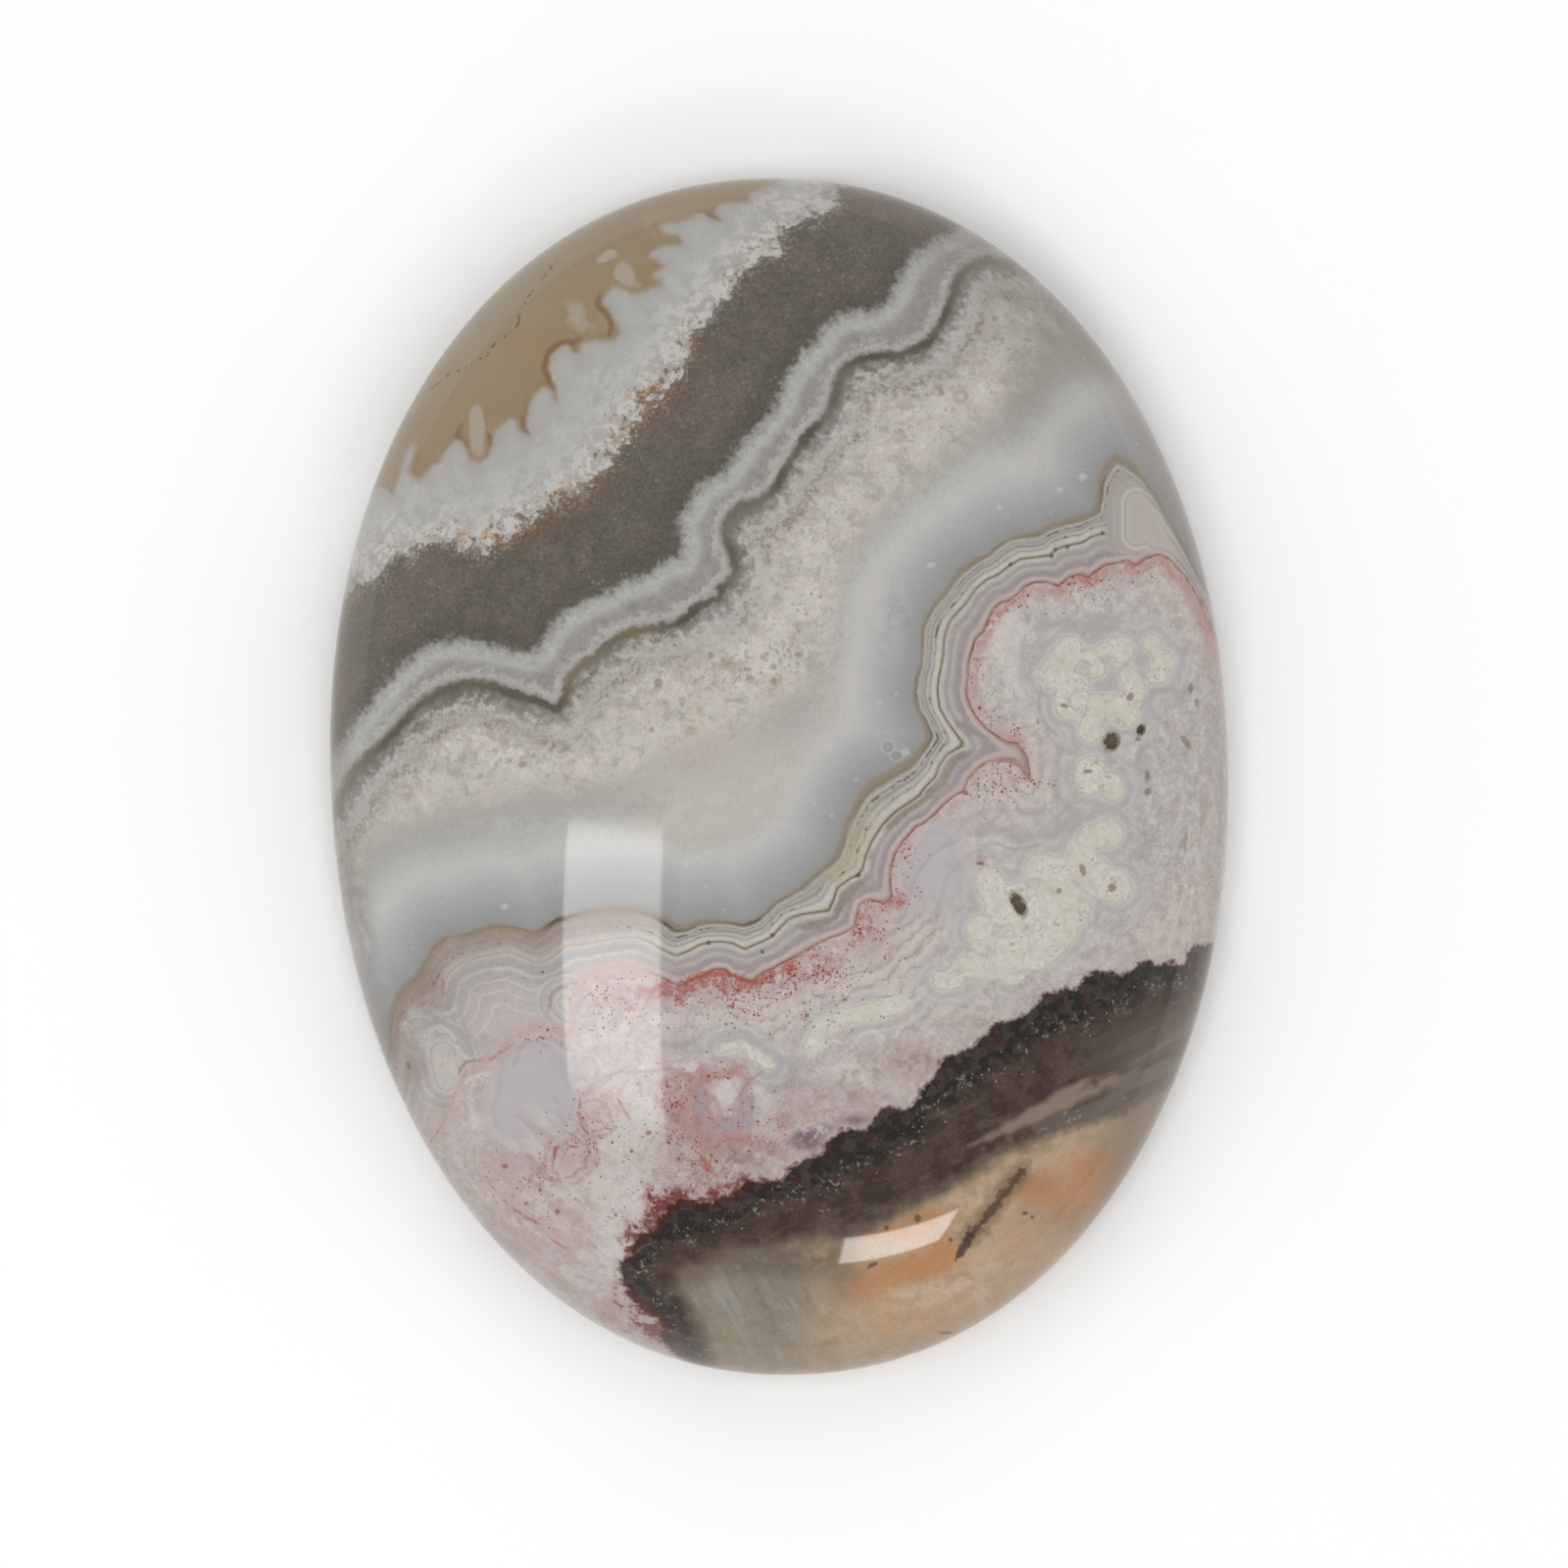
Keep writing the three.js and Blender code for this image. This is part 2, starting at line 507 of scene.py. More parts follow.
def noise(scale, detail=2.0, roughness=0.5, warp=0.0, stretch=1.0, turn=0.0):
    """Cloudy noise from 0 to 1, with scale in features a millimetre. It can be stretched along a turn."""
    cloudy = stone.add(
        "ShaderNodeTexNoise",
        {"normalize": True},
        {"Vector": spot, "Scale": scale / MM, "Detail": detail, "Roughness": roughness, "Distortion": warp},
    )
    if stretch != 1:
        mapping = cloudy.socket.node.texture_mapping
        mapping.vector_type = "TEXTURE"
        mapping.rotation = (0, 0, math.radians(turn) - LEAN)
        mapping.scale = (stretch, 1, DRAWN_DOWN)
    return cloudy


def shaken(value, **amounts):
    """A value with so much of each named noise added, up and down from the noise's middle."""
    for name, amount in amounts.items():
        value = value + (NOISES[name] - 0.5) * amount
    return value


def grains(scale):
    """Grains of sugary quartz: a number from 0 to 1 for each, and how far from its middle."""
    cell = stone.add("ShaderNodeTexVoronoi", None, {"Vector": spot, "Scale": scale / MM}, out="Color")
    gap = Wire(stone.tree, cell.socket.node.outputs["Distance"])
    return stone.add("ShaderNodeSeparateColor", None, {0: cell}), gap


def dots(cells, share, size):
    """Round dots in a share of the grains. Their size is a share of the grains' spacing."""
    chosen, gap = cells
    return ease(chosen + share, 1.0, 1.02) * ease(gap, size, size * 0.6)


def flow(run, scale):
    """Noise along a front only, with scale in features a millimetre, for fibres that stand square on it."""
    settings = {"normalize": True, "noise_dimensions": "1D"}
    sockets = {"W": run, "Scale": scale, "Detail": 2, "Roughness": 0.55}
    return stone.add("ShaderNodeTexNoise", settings, sockets)


def on_dome(x, y):
    """The point of the dome that the camera sees at a pixel, in millimetres."""
    target = stone_place((x, y))
    place = target
    for _ in range(4):  # each round comes nearer, and four leave far less than a pixel
        place = place + target - seen_through(place, dome_at(*place)[1])
    return place


def marks(spots):
    """Distance from the nearest of some small ovals, 1 on their edges: x, y, half width, half height
    in pixels, and degrees of turn where there is one."""
    nearest = None
    for x, y, half_wide, half_tall, *turn in spots:
        ball = stone.add("ShaderNodeTexGradient", {"gradient_type": "SPHERICAL"}, {"Vector": spot}, out="Fac")
        mapping = ball.socket.node.texture_mapping
        mapping.vector_type = "TEXTURE"
        mapping.translation = [value * MM for value in (*on_dome(x, y), 0)]
        mapping.rotation = (0, 0, math.radians(sum(turn)) - LEAN)
        halves = (half_wide, half_tall, FAR * PIXELS_PER_MM)
        mapping.scale = [2 * half / PIXELS_PER_MM * MM for half in halves]
        nearest = ball.at_least(nearest) if nearest else ball
    return 2 - nearest * 2


fine = noise(9, 2, 0.6)
grain = noise(4.5, 3, 0.6)
wool = noise(2.2, 3, 0.6, warp=0.6)
cloud = noise(1.4, 3, 0.55)
billow = noise(0.8, 3, 0.55)
drift = noise(0.35, 2, 0.5)
tiny_grains = grains(10.5)
small_grains = grains(6.5)
large_grains = grains(3.6)
sugar = small_grains[0]
NOISES = dict(fine=fine, grain=grain, wool=wool, cloud=cloud, billow=billow, drift=drift, sugar=sugar)

# Tan chalcedony fills the first corner. It ends in lobes and fingers, with pale puffs of quartz behind
# them, an orange-brown skin here and there, and a dotted line of dark grains across it.
tan_edge = front([
    (340, 575), (365, 520), (381, 498), (392, 496), (400, 504), (405, 492), (409, 478), (413, 463),
    (420, 453), (425, 455), (421, 469), (417, 482), (427, 490), (436, 482), (441, 474), (447, 473),
    (453, 461), (465, 448), (473, 450), (477, 462), (481, 470), (489, 471), (498, 465), (502, 452),
    (504, 441), (512, 433), (520, 426), (527, 428), (530, 438), (540, 444), (536, 432), (539, 415),
    (545, 402), (555, 394), (563, 398), (568, 409), (566, 394), (559, 376), (562, 362), (572, 353),
    (580, 351), (585, 360), (590, 361), (593, 350), (606, 347), (625, 347), (633, 340), (627, 328),
    (622, 318), (613, 308), (619, 299), (625, 292), (634, 294), (646, 300), (658, 298), (664, 293),
    (675, 292), (675, 286), (664, 283), (668, 278), (678, 273), (670, 266), (661, 263), (664, 256),
    (678, 250), (696, 249), (692, 241), (677, 238), (671, 231), (680, 227), (700, 224), (706, 218),
    (718, 216), (724, 222), (736, 226), (728, 216), (734, 209), (748, 206), (764, 206), (765, 197),
    (778, 192), (792, 186), (803, 172),
])
tan_puffs = stain([
    (623, 259, 8, 5, 0.9), (614, 265, 8, 5, 0.7), (640, 281, 10, 8, 1.0), (633, 278, 7, 8, 0.8),
    (650, 291, 10, 5, 0.5), (486, 424, 7, 12, 1.0), (487, 443, 9, 13, 0.8), (489, 460, 10, 9, 0.45),
    (588, 318, 14, 16, 0.55), (595, 335, 18, 10, 0.4), (448, 462, 6, 12, 0.4), (640, 265, 14, 8, 0.35),
    (515, 437, 16, 6, 0.3), (655, 243, 16, 8, 0.25), (560, 300, 30, 24, 0.25),
])
tan_skin = stain([
    (558, 372, 12, 26, 0.9), (575, 350, 20, 8, 0.9), (612, 312, 10, 16, 0.8), (620, 335, 14, 12, 0.6),
    (540, 425, 8, 18, 0.7), (470, 450, 12, 14, 0.5), (502, 455, 6, 12, 0.6), (428, 470, 10, 14, 0.5),
    (725, 218, 12, 8, 0.5), (668, 236, 10, 14, 0.3),
])
tan_rims = veins(1.6, [
    [(499, 446), (503, 455), (502, 464), (496, 468)], [(534, 430), (535, 440), (546, 443)],
    [(558, 380), (563, 392), (567, 405)], [(555, 373), (560, 362), (570, 353), (582, 350), (590, 346)],
    [(611, 306), (611, 314), (619, 320), (624, 330), (622, 340)], [(470, 436), (466, 446), (474, 452)],
    [(718, 218), (726, 222), (735, 225)],
])
tan_grains = veins(0.7, [
    [(443, 394), (460, 380), (473, 377), (478, 372), (498, 361), (505, 350), (515, 343), (528, 333)],
    [(528, 333), (531, 318), (540, 301), (552, 286), (566, 268)],
])
tan = ramp(shaken(tan_edge, drift=3, billow=1.4), [
    (-6.5, 156, 149, 135), (-3.8, 153, 142, 121), (-1.8, 150, 134, 107), (-0.3, 149, 131, 103),
    (0.0, 154, 139, 116),
])
tan.coat((152, 128, 96), ease(shaken(cloud, billow=0.6), 0.5, 0.66) * ease(tan_edge, -4.0, -1.0) * 0.5)
tan = lit(tan, shaken(1, cloud=0.12, fine=0.08))
tan.coat((128, 98, 66), band(tan_edge, -0.1, 0.04, 0.16) * tan_skin * 0.7)
tan.coat((84, 74, 60), ease(tan_grains, 0.05, 0.0) * ease(shaken(grain, fine=0.5), 0.52, 0.58) * 0.7)
tan.coat((171, 163, 150), ease(shaken(tan_puffs, wool=0.5, cloud=0.3), 0.26, 0.66) * 0.8)
tan.coat((126, 98, 70), ease(shaken(tan_rims, grain=0.1), 0.1, -0.02) * 0.65)

# White quartz grew on the tan. Its near side is smooth; its far side is loose and sugary, and
# iron oxide has stained it ochre and brown.
dark_edge = front([
    (330, 650), (351, 613), (365, 598), (384, 590), (392, 579), (406, 568), (419, 573), (428, 562),
    (442, 556), (454, 560), (459, 556), (466, 564), (480, 566), (504, 562), (520, 549), (532, 538),
    (549, 528), (564, 520), (579, 511), (596, 499), (610, 487), (624, 469), (642, 452), (647, 433),
    (661, 420), (672, 409), (682, 397), (691, 385), (700, 370), (704, 350), (709, 339), (725, 327),
    (733, 313), (746, 304), (752, 287), (760, 278), (779, 263), (795, 262), (795, 245), (802, 237),
    (818, 227), (841, 222), (853, 211), (855, 194), (880, 180),
])
ochre_stain = stain([
    (500, 545, 42, 20, 0.9), (545, 530, 40, 16, 1.0), (500, 526, 14, 8, 0.5), (570, 505, 40, 16, 0.5),
    (610, 470, 30, 26, 0.5), (620, 445, 14, 18, 0.7), (650, 420, 22, 26, 0.9), (665, 400, 18, 16, 0.7),
    (690, 375, 20, 22, 0.7), (712, 325, 12, 12, 0.6), (712, 348, 12, 14, 0.7), (775, 250, 25, 12, 0.5),
    (800, 240, 16, 14, 0.4), (400, 562, 20, 10, 0.4), (440, 545, 22, 12, 0.3), (745, 285, 16, 10, 0.4),
])
ochre_glow = stain([
    (520, 555, 20, 8, 0.6), (548, 542, 18, 10, 1.0), (575, 524, 18, 9, 0.9), (600, 506, 16, 9, 0.6),
    (616, 485, 12, 14, 0.7), (645, 440, 10, 14, 0.7), (664, 430, 10, 10, 1.0), (680, 410, 10, 14, 0.9),
    (696, 388, 9, 12, 0.8), (708, 366, 8, 12, 0.6), (718, 345, 7, 14, 0.4), (795, 265, 10, 6, 0.3),
])
white = ramp(shaken(tan_edge, grain=0.12), [
    (0.0, 164, 157, 147), (0.1, 168, 164, 157), (0.28, 172, 170, 165), (0.6, 176, 174, 170),
    (1.4, 178, 176, 172),
])
sugary = ease(tan_edge, 0.25, 1.1)
white = lit(white, shaken(1, cloud=0.3) + (grain - 0.5) * 0.4 * sugary + (sugar - 0.5) * sugary * 0.08)
white.coat((193, 192, 189), dots(large_grains, 0.22, 0.4) * ease(cloud, 0.45, 0.6) * 0.5)
loose = ease(shaken(dark_edge, cloud=1.4), -1.6, -0.1)
white.coat((158, 152, 140), ease(wool, 0.5, 0.6) * loose * 0.5)
white.coat((201, 198, 193), ease(shaken(wool, grain=0.6), 0.5, 0.42) * ease(dark_edge, -2.2, -0.4) * 0.8)
ochre = ease(shaken(dark_edge, cloud=2), -1.3, -0.1) * ochre_stain
white.coat((166, 134, 98), ease(shaken(cloud, grain=0.9), 0.46, 0.62) * ochre * 0.8)
white.coat((190, 168, 140), ease(grain, 0.5, 0.62) * ochre * 0.5)
specks = 0.04 * loose + 0.4 * ochre
white.coat((118, 96, 74), dots(tiny_grains, specks, 0.42) * 0.75)
white.coat((110, 88, 66), ease(grain + wool * 0.6 + ochre * 0.16, 0.98, 1.04) * ease(ochre, 0.05, 0.3) * 0.75)
white.coat((120, 113, 102), ease(grain, 0.55, 0.64) * ease(dark_edge, -0.6, -0.05) * 0.6)
upper = paint(tan, white, ease(shaken(tan_edge, grain=0.1), -0.1, 0.12))

# Smoky quartz follows, dark and finely speckled, browner where it meets the white and olive beyond.
ribbon_edge, ribbon_run = front([
    (325, 790), (338, 767), (351, 749), (365, 728), (382, 708), (398, 689), (411, 675), (425, 662),
    (442, 654), (462, 650), (483, 652), (506, 655), (522, 660), (541, 663), (549, 658), (555, 646),
    (561, 635), (574, 623), (586, 615), (603, 608), (619, 600), (633, 593), (647, 588), (661, 582),
    (675, 571), (690, 567), (694, 557), (692, 544), (690, 530), (698, 518), (706, 501), (719, 489),
    (737, 480), (746, 466), (752, 455), (764, 441), (779, 426), (789, 412), (795, 395), (799, 383),
    (810, 370), (816, 358), (826, 350), (835, 337), (845, 327), (855, 318), (872, 315), (888, 315),
    (901, 308), (909, 294), (915, 280), (923, 267), (936, 253), (953, 242), (972, 233), (1000, 215),
], with_run=True)
smoky = paint((107, 98, 90), (97, 94, 86), ease(shaken(drift, cloud=0.8), 0.4, 0.62))
smoky.coat((112, 98, 88), ease(cloud, 0.52, 0.7) * 0.5)
smoky.coat((120, 94, 66), ochre_glow * ease(shaken(dark_edge, grain=0.3), 0.75, 0.0) * 0.85)
smoky.coat((91, 87, 77), ease(shaken(ribbon_edge, cloud=0.5), -1.0, -0.25) * 0.75)
streaks = noise(2.4, 2, 0.5, stretch=3, turn=90)
uneven = shaken(1, fine=0.8, grain=0.4) + (streaks - 0.5) * 0.25
smoky = lit(smoky, shaken(uneven, billow=0.2))
smoky.coat((138, 133, 126), dots(small_grains, 0.1, 0.5) * ease(billow, 0.42, 0.6) * 0.5)
share = ease(shaken(dark_edge, cloud=0.8, grain=0.4), -0.42, 0.3)
smoky.coat(
    (122, 96, 68), ease(shaken(dark_edge, cloud=1), 1.0, 0.1) * ochre_stain * ease(wool, 0.4, 0.6) * 0.7
)
strays = ease(shaken(dark_edge, cloud=1), 0.55, 0.1)
smoky.coat((152, 147, 140), dots(tiny_grains, 0.3, 0.6) * strays * 0.7)
smoky.coat((140, 134, 126), ease(grain, 0.54, 0.62) * strays * 0.6)
torn = ease(sugar * 0.3 + grain * 0.9 + wool * 0.6 + share * 1.05, 1.3, 1.56)
upper.coat(smoky, torn * 0.72 + share * 0.28)

# A sugary white ribbon, then pale grey, closed by an olive line that is now dark, now thin and brown,
# sharp on its near side and fuzzy on its far side.
olive_edge = front([
    (325, 850), (345, 815), (355, 797), (367, 780), (380, 768), (392, 757), (402, 747), (413, 734),
    (423, 724), (435, 714), (448, 706), (464, 699), (483, 697), (499, 698), (512, 703), (526, 708),
    (545, 713), (557, 718), (568, 723), (574, 716), (578, 703), (582, 691), (590, 681), (605, 672),
    (617, 660), (630, 650), (642, 645), (661, 641), (682, 639), (694, 633), (706, 623), (719, 615),
    (731, 610), (735, 599), (744, 594), (750, 582), (748, 568), (741, 555), (738, 540), (746, 525),
    (758, 515), (771, 513), (783, 505), (791, 497), (799, 481), (812, 461), (820, 447), (833, 434),
    (845, 420), (851, 405), (854, 389), (863, 375), (878, 365), (899, 362), (919, 362), (932, 356),
    (945, 350), (953, 341), (961, 327), (969, 310), (973, 294), (982, 278), (994, 269), (1008, 265),
    (1030, 268), (1060, 270),
])
olive_dark = stain([
    (700, 628, 40, 16, 1.0), (735, 600, 14, 16, 0.8), (745, 565, 12, 14, 0.6), (800, 490, 24, 24, 0.9),
    (825, 440, 20, 20, 0.9), (850, 405, 14, 18, 0.5), (890, 364, 40, 14, 0.8), (945, 350, 18, 12, 0.8),
    (962, 320, 14, 22, 0.9), (975, 285, 16, 16, 0.6), (530, 708, 40, 14, 0.7), (565, 722, 22, 14, 0.8),
    (450, 705, 50, 18, 0.4), (410, 737, 26, 20, 0.7), (395, 760, 16, 20, 0.6), (625, 652, 20, 14, 0.3),
])
olive_deep = stain([
    (440, 706, 50, 20, 1.0), (500, 702, 40, 16, 0.9), (390, 752, 24, 26, 0.8), (360, 785, 16, 24, 0.7),
    (755, 530, 20, 30, 0.9), (745, 570, 14, 20, 0.6), (875, 378, 30, 18, 0.8), (962, 285, 20, 24, 0.9),
    (690, 635, 30, 14, 0.5), (960, 262, 30, 14, 0.7), (400, 722, 30, 22, 1.0), (368, 760, 16, 26, 1.0),
    (765, 520, 14, 24, 0.8), (868, 388, 20, 16, 0.8), (962, 275, 24, 20, 0.8), (795, 640, 10, 20, 0.4),
])
olive_shade = stain([
    (478, 722, 44, 16, 1.0), (540, 738, 26, 14, 0.9), (632, 668, 28, 14, 0.9), (760, 535, 20, 26, 1.0),
    (882, 390, 26, 16, 1.0), (420, 735, 26, 18, 0.7), (606, 692, 14, 16, 0.7), (800, 640, 10, 18, 0.6),
    (960, 280, 20, 22, 0.6), (905, 400, 18, 12, 0.5),
])
olive_brown = stain([
    (650, 645, 30, 14, 0.9), (600, 672, 24, 20, 0.8), (575, 705, 14, 20, 0.6), (790, 497, 16, 12, 0.5),
    (925, 352, 20, 10, 0.5), (870, 375, 20, 14, 0.6), (480, 697, 50, 10, 0.3),
])
olive_crystals = stain([
    (605, 697, 16, 12, 1.0), (475, 740, 24, 10, 0.9), (670, 657, 40, 10, 0.9), (820, 480, 14, 24, 0.6),
    (900, 385, 40, 12, 0.5), (430, 745, 16, 14, 0.5), (560, 745, 26, 10, 0.4), (770, 540, 16, 18, 0.5),
])
fibre = flow(ribbon_run, 5.0)
fringe = shaken(ribbon_edge + (fibre - 0.5) * 0.14, grain=0.42, wool=0.34)
ribbon = ramp(fringe, [
    (-0.2, 108, 104, 97), (0.0, 124, 121, 115), (0.14, 146, 144, 139), (0.28, 162, 161, 157),
    (0.42, 170, 170, 166), (0.56, 174, 173, 169), (0.68, 168, 166, 162), (0.8, 156, 153, 148),
    (0.95, 149, 146, 141), (1.3, 148, 145, 140),
])
ribbon.coat((178, 177, 172), ease(shaken(olive_edge, grain=0.8, wool=0.7), -0.62, -0.3) * 0.7)
ribbon.coat(
    (138, 135, 130), ease(wool, 0.54, 0.64) * ease(fringe, 0.7, 1.0) * ease(olive_edge, -0.3, -0.6) * 0.5
)
ribbon = lit(ribbon, shaken(1, cloud=0.2, grain=0.36, sugar=0.06, fine=0.26))
share = ease(shaken(fringe, sugar=0.1), -0.16, 0.16)
upper.coat(ribbon, share)

loose = ease(olive_edge, -0.15, 0.45)
fuzz = shaken(olive_edge + shaken(0, grain=0.8, wool=1.0, sugar=0.14) * loose, grain=0.24)
olive_far = ramp(fuzz, [
    (-0.34, 160, 158, 153), (-0.18, 150, 147, 141), (-0.05, 133, 128, 119), (0.06, 124, 119, 110),
    (0.17, 127, 123, 115), (0.32, 139, 136, 130), (0.46, 155, 152, 146), (0.6, 167, 164, 158),
    (0.86, 174, 171, 165), (1.02, 172, 167, 160), (1.12, 160, 152, 142), (1.3, 173, 167, 159),
    (1.7, 176, 170, 162), (2.1, 183, 177, 169), (2.6, 184, 178, 170),
])
upper.coat(olive_far, ease(shaken(olive_edge, grain=0.5, wool=0.4), -0.3, -0.06))
olive_line = shaken(olive_edge, grain=0.3, wool=0.3)
upper.coat((104, 97, 83), band(olive_line, 0.03, 0.04, 0.2) * ease(billow, 0.4, 0.6) * 0.6)
upper.coat((126, 112, 87), band(olive_line, 0.02, 0.07, 0.18) * olive_brown * 0.85)
upper.coat((108, 102, 92), band(fuzz, 0.14, 0.14, 0.34) * olive_deep * 0.8)
upper.coat((120, 116, 107), band(fuzz, 0.38, 0.2, 0.45) * olive_shade * ease(cloud, 0.26, 0.5) * 0.75)
upper.coat((78, 72, 60), band(olive_line, 0.04, 0.05, 0.15) * olive_dark * 0.85)
upper.coat((138, 127, 112), band(fuzz, 1.08, 0.02, 0.08) * ease(billow, 0.44, 0.54) * 0.75)
upper.coat((192, 189, 184), band(fuzz, 0.8, 0.1, 0.25) * ease(shaken(grain, wool=0.7), 0.5, 0.6) * 0.5)
crystal_zone = olive_crystals * band(olive_edge, 0.5, 0.25, 0.25)
upper.coat((176, 172, 163), crystal_zone * ease(grain + wool, 0.92, 1.04) * 0.85)
upper.coat((88, 80, 66), dots(small_grains, 0.16, 0.5) * crystal_zone * 0.8)

# Pink and cream mottled chalcedony comes next. Its own colour drifts, and brown-grey dots and small
# rings are strewn through it.
mottle_end = front([
    (350, 900), (380, 850), (440, 830), (500, 810), (560, 805), (620, 800), (680, 770), (730, 750),
    (780, 730), (830, 700), (850, 660), (855, 620), (862, 580), (880, 550), (900, 520), (930, 500),
    (960, 470), (990, 440), (1030, 400), (1050, 370), (1060, 340), (1080, 320),
])
speckle_stain = stain([
    (810, 672, 90, 26, 1.0), (740, 690, 60, 24, 0.7), (875, 530, 24, 60, 0.8), (930, 460, 50, 30, 0.5),
    (660, 740, 60, 24, 0.5), (1010, 340, 40, 50, 0.5), (480, 800, 70, 20, 0.4), (1000, 400, 40, 20, 0.5),
])
beige_stain = stain([
    (800, 795, 70, 45, 1.0), (740, 830, 60, 30, 0.8), (680, 850, 60, 24, 0.6), (860, 730, 30, 50, 0.6),
    (620, 865, 60, 20, 0.3),
])
tan_band = stain([
    (1100, 420, 50, 60, 0.8), (1140, 400, 60, 60, 0.7), (1060, 360, 50, 70, 0.7), (1200, 560, 20, 40, 0.5),
    (1170, 480, 30, 60, 0.7), (1120, 340, 90, 60, 0.8), (1030, 280, 60, 30, 0.5), (1210, 540, 20, 50, 0.6),
])
mottle_spots = marks([
    (672, 697, 6, 5), (665, 745, 4, 4), (632, 760, 4, 4), (533, 780, 5, 4), (489, 793, 5, 4, 20),
    (726, 668, 4, 4), (815, 668, 5, 4), (789, 680, 4, 4), (790, 695, 4, 5), (960, 400, 4, 5),
    (1015, 325, 4, 4), (1030, 305, 5, 4, 30),
])
mottle_rings = marks([(980, 405, 9, 9), (906, 762, 6, 6), (915, 771, 6, 5)])
pale_specks = marks([
    (1105, 487, 6, 5), (1081, 500, 4, 4), (1020, 518, 4, 4), (950, 577, 5, 4), (515, 925, 5, 4),
    (924, 767, 5, 5), (846, 762, 5, 4), (700, 882, 4, 4),
])
# From here to the lace the stone is plain: grey, then a pale ridge, then a cooler grey.
lace_start = front([
    (380, 1150), (396, 1100), (398, 1074), (399, 1045), (404, 1018), (413, 1006), (427, 995), (433, 983),
    (442, 968), (452, 958), (470, 954), (487, 950), (502, 946), (516, 944), (528, 946), (541, 950),
    (549, 950), (557, 944), (568, 937), (580, 934), (600, 930), (630, 928), (651, 930), (667, 933),
    (680, 941), (690, 949), (700, 948), (713, 942), (729, 940), (746, 941), (758, 943), (770, 939),
    (781, 931), (791, 921), (806, 912), (816, 906), (826, 897), (837, 889), (847, 881), (855, 873),
    (859, 863), (863, 846), (872, 828), (880, 813), (892, 801), (907, 793), (919, 786), (930, 780),
    (938, 770), (944, 762), (950, 751), (944, 737), (937, 724), (933, 708), (935, 692), (939, 679),
    (940, 660), (941, 642), (946, 629), (953, 617), (964, 606), (973, 595), (982, 583), (996, 572),
    (1009, 565), (1018, 556), (1030, 549), (1046, 546), (1059, 545), (1071, 539), (1089, 533), (1107, 529),
    (1120, 522), (1122, 509), (1123, 495), (1128, 481), (1139, 468), (1150, 474), (1164, 486), (1179, 509),
    (1193, 534), (1205, 557), (1216, 580), (1228, 602), (1245, 640), (1270, 690),
])
plain = ramp(shaken(lace_start, drift=0.5, grain=0.25), [
    (-8.0, 182, 175, 166), (-6.2, 182, 175, 166), (-5.3, 178, 171, 163), (-4.7, 182, 176, 169),
    (-4.1, 174, 170, 164), (-3.6, 170, 167, 162), (-3.2, 171, 170, 165), (-2.8, 179, 178, 174),
    (-2.4, 187, 186, 182), (-2.1, 189, 187, 184), (-1.8, 183, 182, 180), (-1.5, 174, 174, 175),
    (-1.1, 165, 166, 168), (-0.75, 158, 159, 160), (-0.4, 152, 152, 152), (-0.16, 149, 147, 143),
    (-0.03, 141, 131, 118),
])
plain.coat((187, 181, 173), beige_stain * ease(lace_start, -1.8, -3.0))
plain.coat((153, 147, 140), tan_band * ease(shaken(lace_start, cloud=0.8), -2.4, -3.8) * 0.95)
plain.coat((166, 162, 156), tan_band * ease(lace_start, -0.2, -1.0) * 0.3)
plain.coat((164, 156, 146), ease(wool, 0.52, 0.6) * band(shaken(mottle_end, cloud=1), -0.3, 0.5, 0.6) * 0.5)
mottled = ease(shaken(mottle_end, cloud=1.6), 0.6, -0.6)
blotch = noise(1.3, 5, 0.66, warp=0.3)
mottle = paint((192, 187, 179), (196, 186, 175), ease(billow, 0.42, 0.56))
mottle.coat((169, 162, 152), ease(blotch, 0.5, 0.6) * 0.75)
mottle.coat((196, 190, 183), ease(blotch, 0.46, 0.38) * 0.6)
puffs = shaken((billow + cloud) * 0.5, wool=0.35, grain=0.24)
mottle.coat((200, 196, 190), ease(puffs, 0.5, 0.56) * 0.7)
mottle.coat((158, 153, 145), ease(puffs, 0.44, 0.4) * ease(wool, 0.44, 0.56) * 0.5)
mottle.coat(
    (152, 140, 127), band(shaken(blotch, fine=0.05), 0.52, 0.004, 0.012) * ease(cloud, 0.44, 0.56) * 0.5
)
upper.coat(mottle, mottled * ease(shaken(fuzz, cloud=0.8), 1.2, 2.1))
upper.coat(plain, ease(shaken(mottle_end, cloud=1.6), -0.6, 0.6) * ease(fuzz, 0.9, 1.6))
past = ease(olive_edge, 0.8, 1.6) * ease(lace_start, -0.2, -0.6)
strewn = mottled * past
upper.coat((150, 139, 125), ease(grain + (blotch - 0.5) * 0.4, 0.54, 0.62) * speckle_stain * strewn * 0.7)
upper.coat((150, 136, 120), dots(small_grains, 0.16, 0.5) * ease(cloud, 0.48, 0.56) * strewn * 0.6)
upper.coat((196, 192, 186), dots(large_grains, 0.08, 0.35) * ease(billow, 0.46, 0.56) * past * 0.45)
upper.coat((148, 133, 117), ease(shaken(mottle_spots, grain=1.2), 1.0, 0.6) * 0.7)
upper.coat((146, 134, 120), band(shaken(mottle_rings, grain=0.5), 0.62, 0.14, 0.3) * 0.4)
upper.coat((192, 188, 181), band(mottle_rings, 1.1, 0.1, 0.2) * 0.35)
upper.coat((200, 197, 192), ease(shaken(pale_specks, grain=1), 1.1, 0.5) * 0.5)
upper = lit(
    upper,
    1 + ((fine - 0.5) * 0.2 + (grain - 0.5) * (mottled * 0.3 + 0.08) + (wool - 0.5) * mottled * 0.2) * past,
)
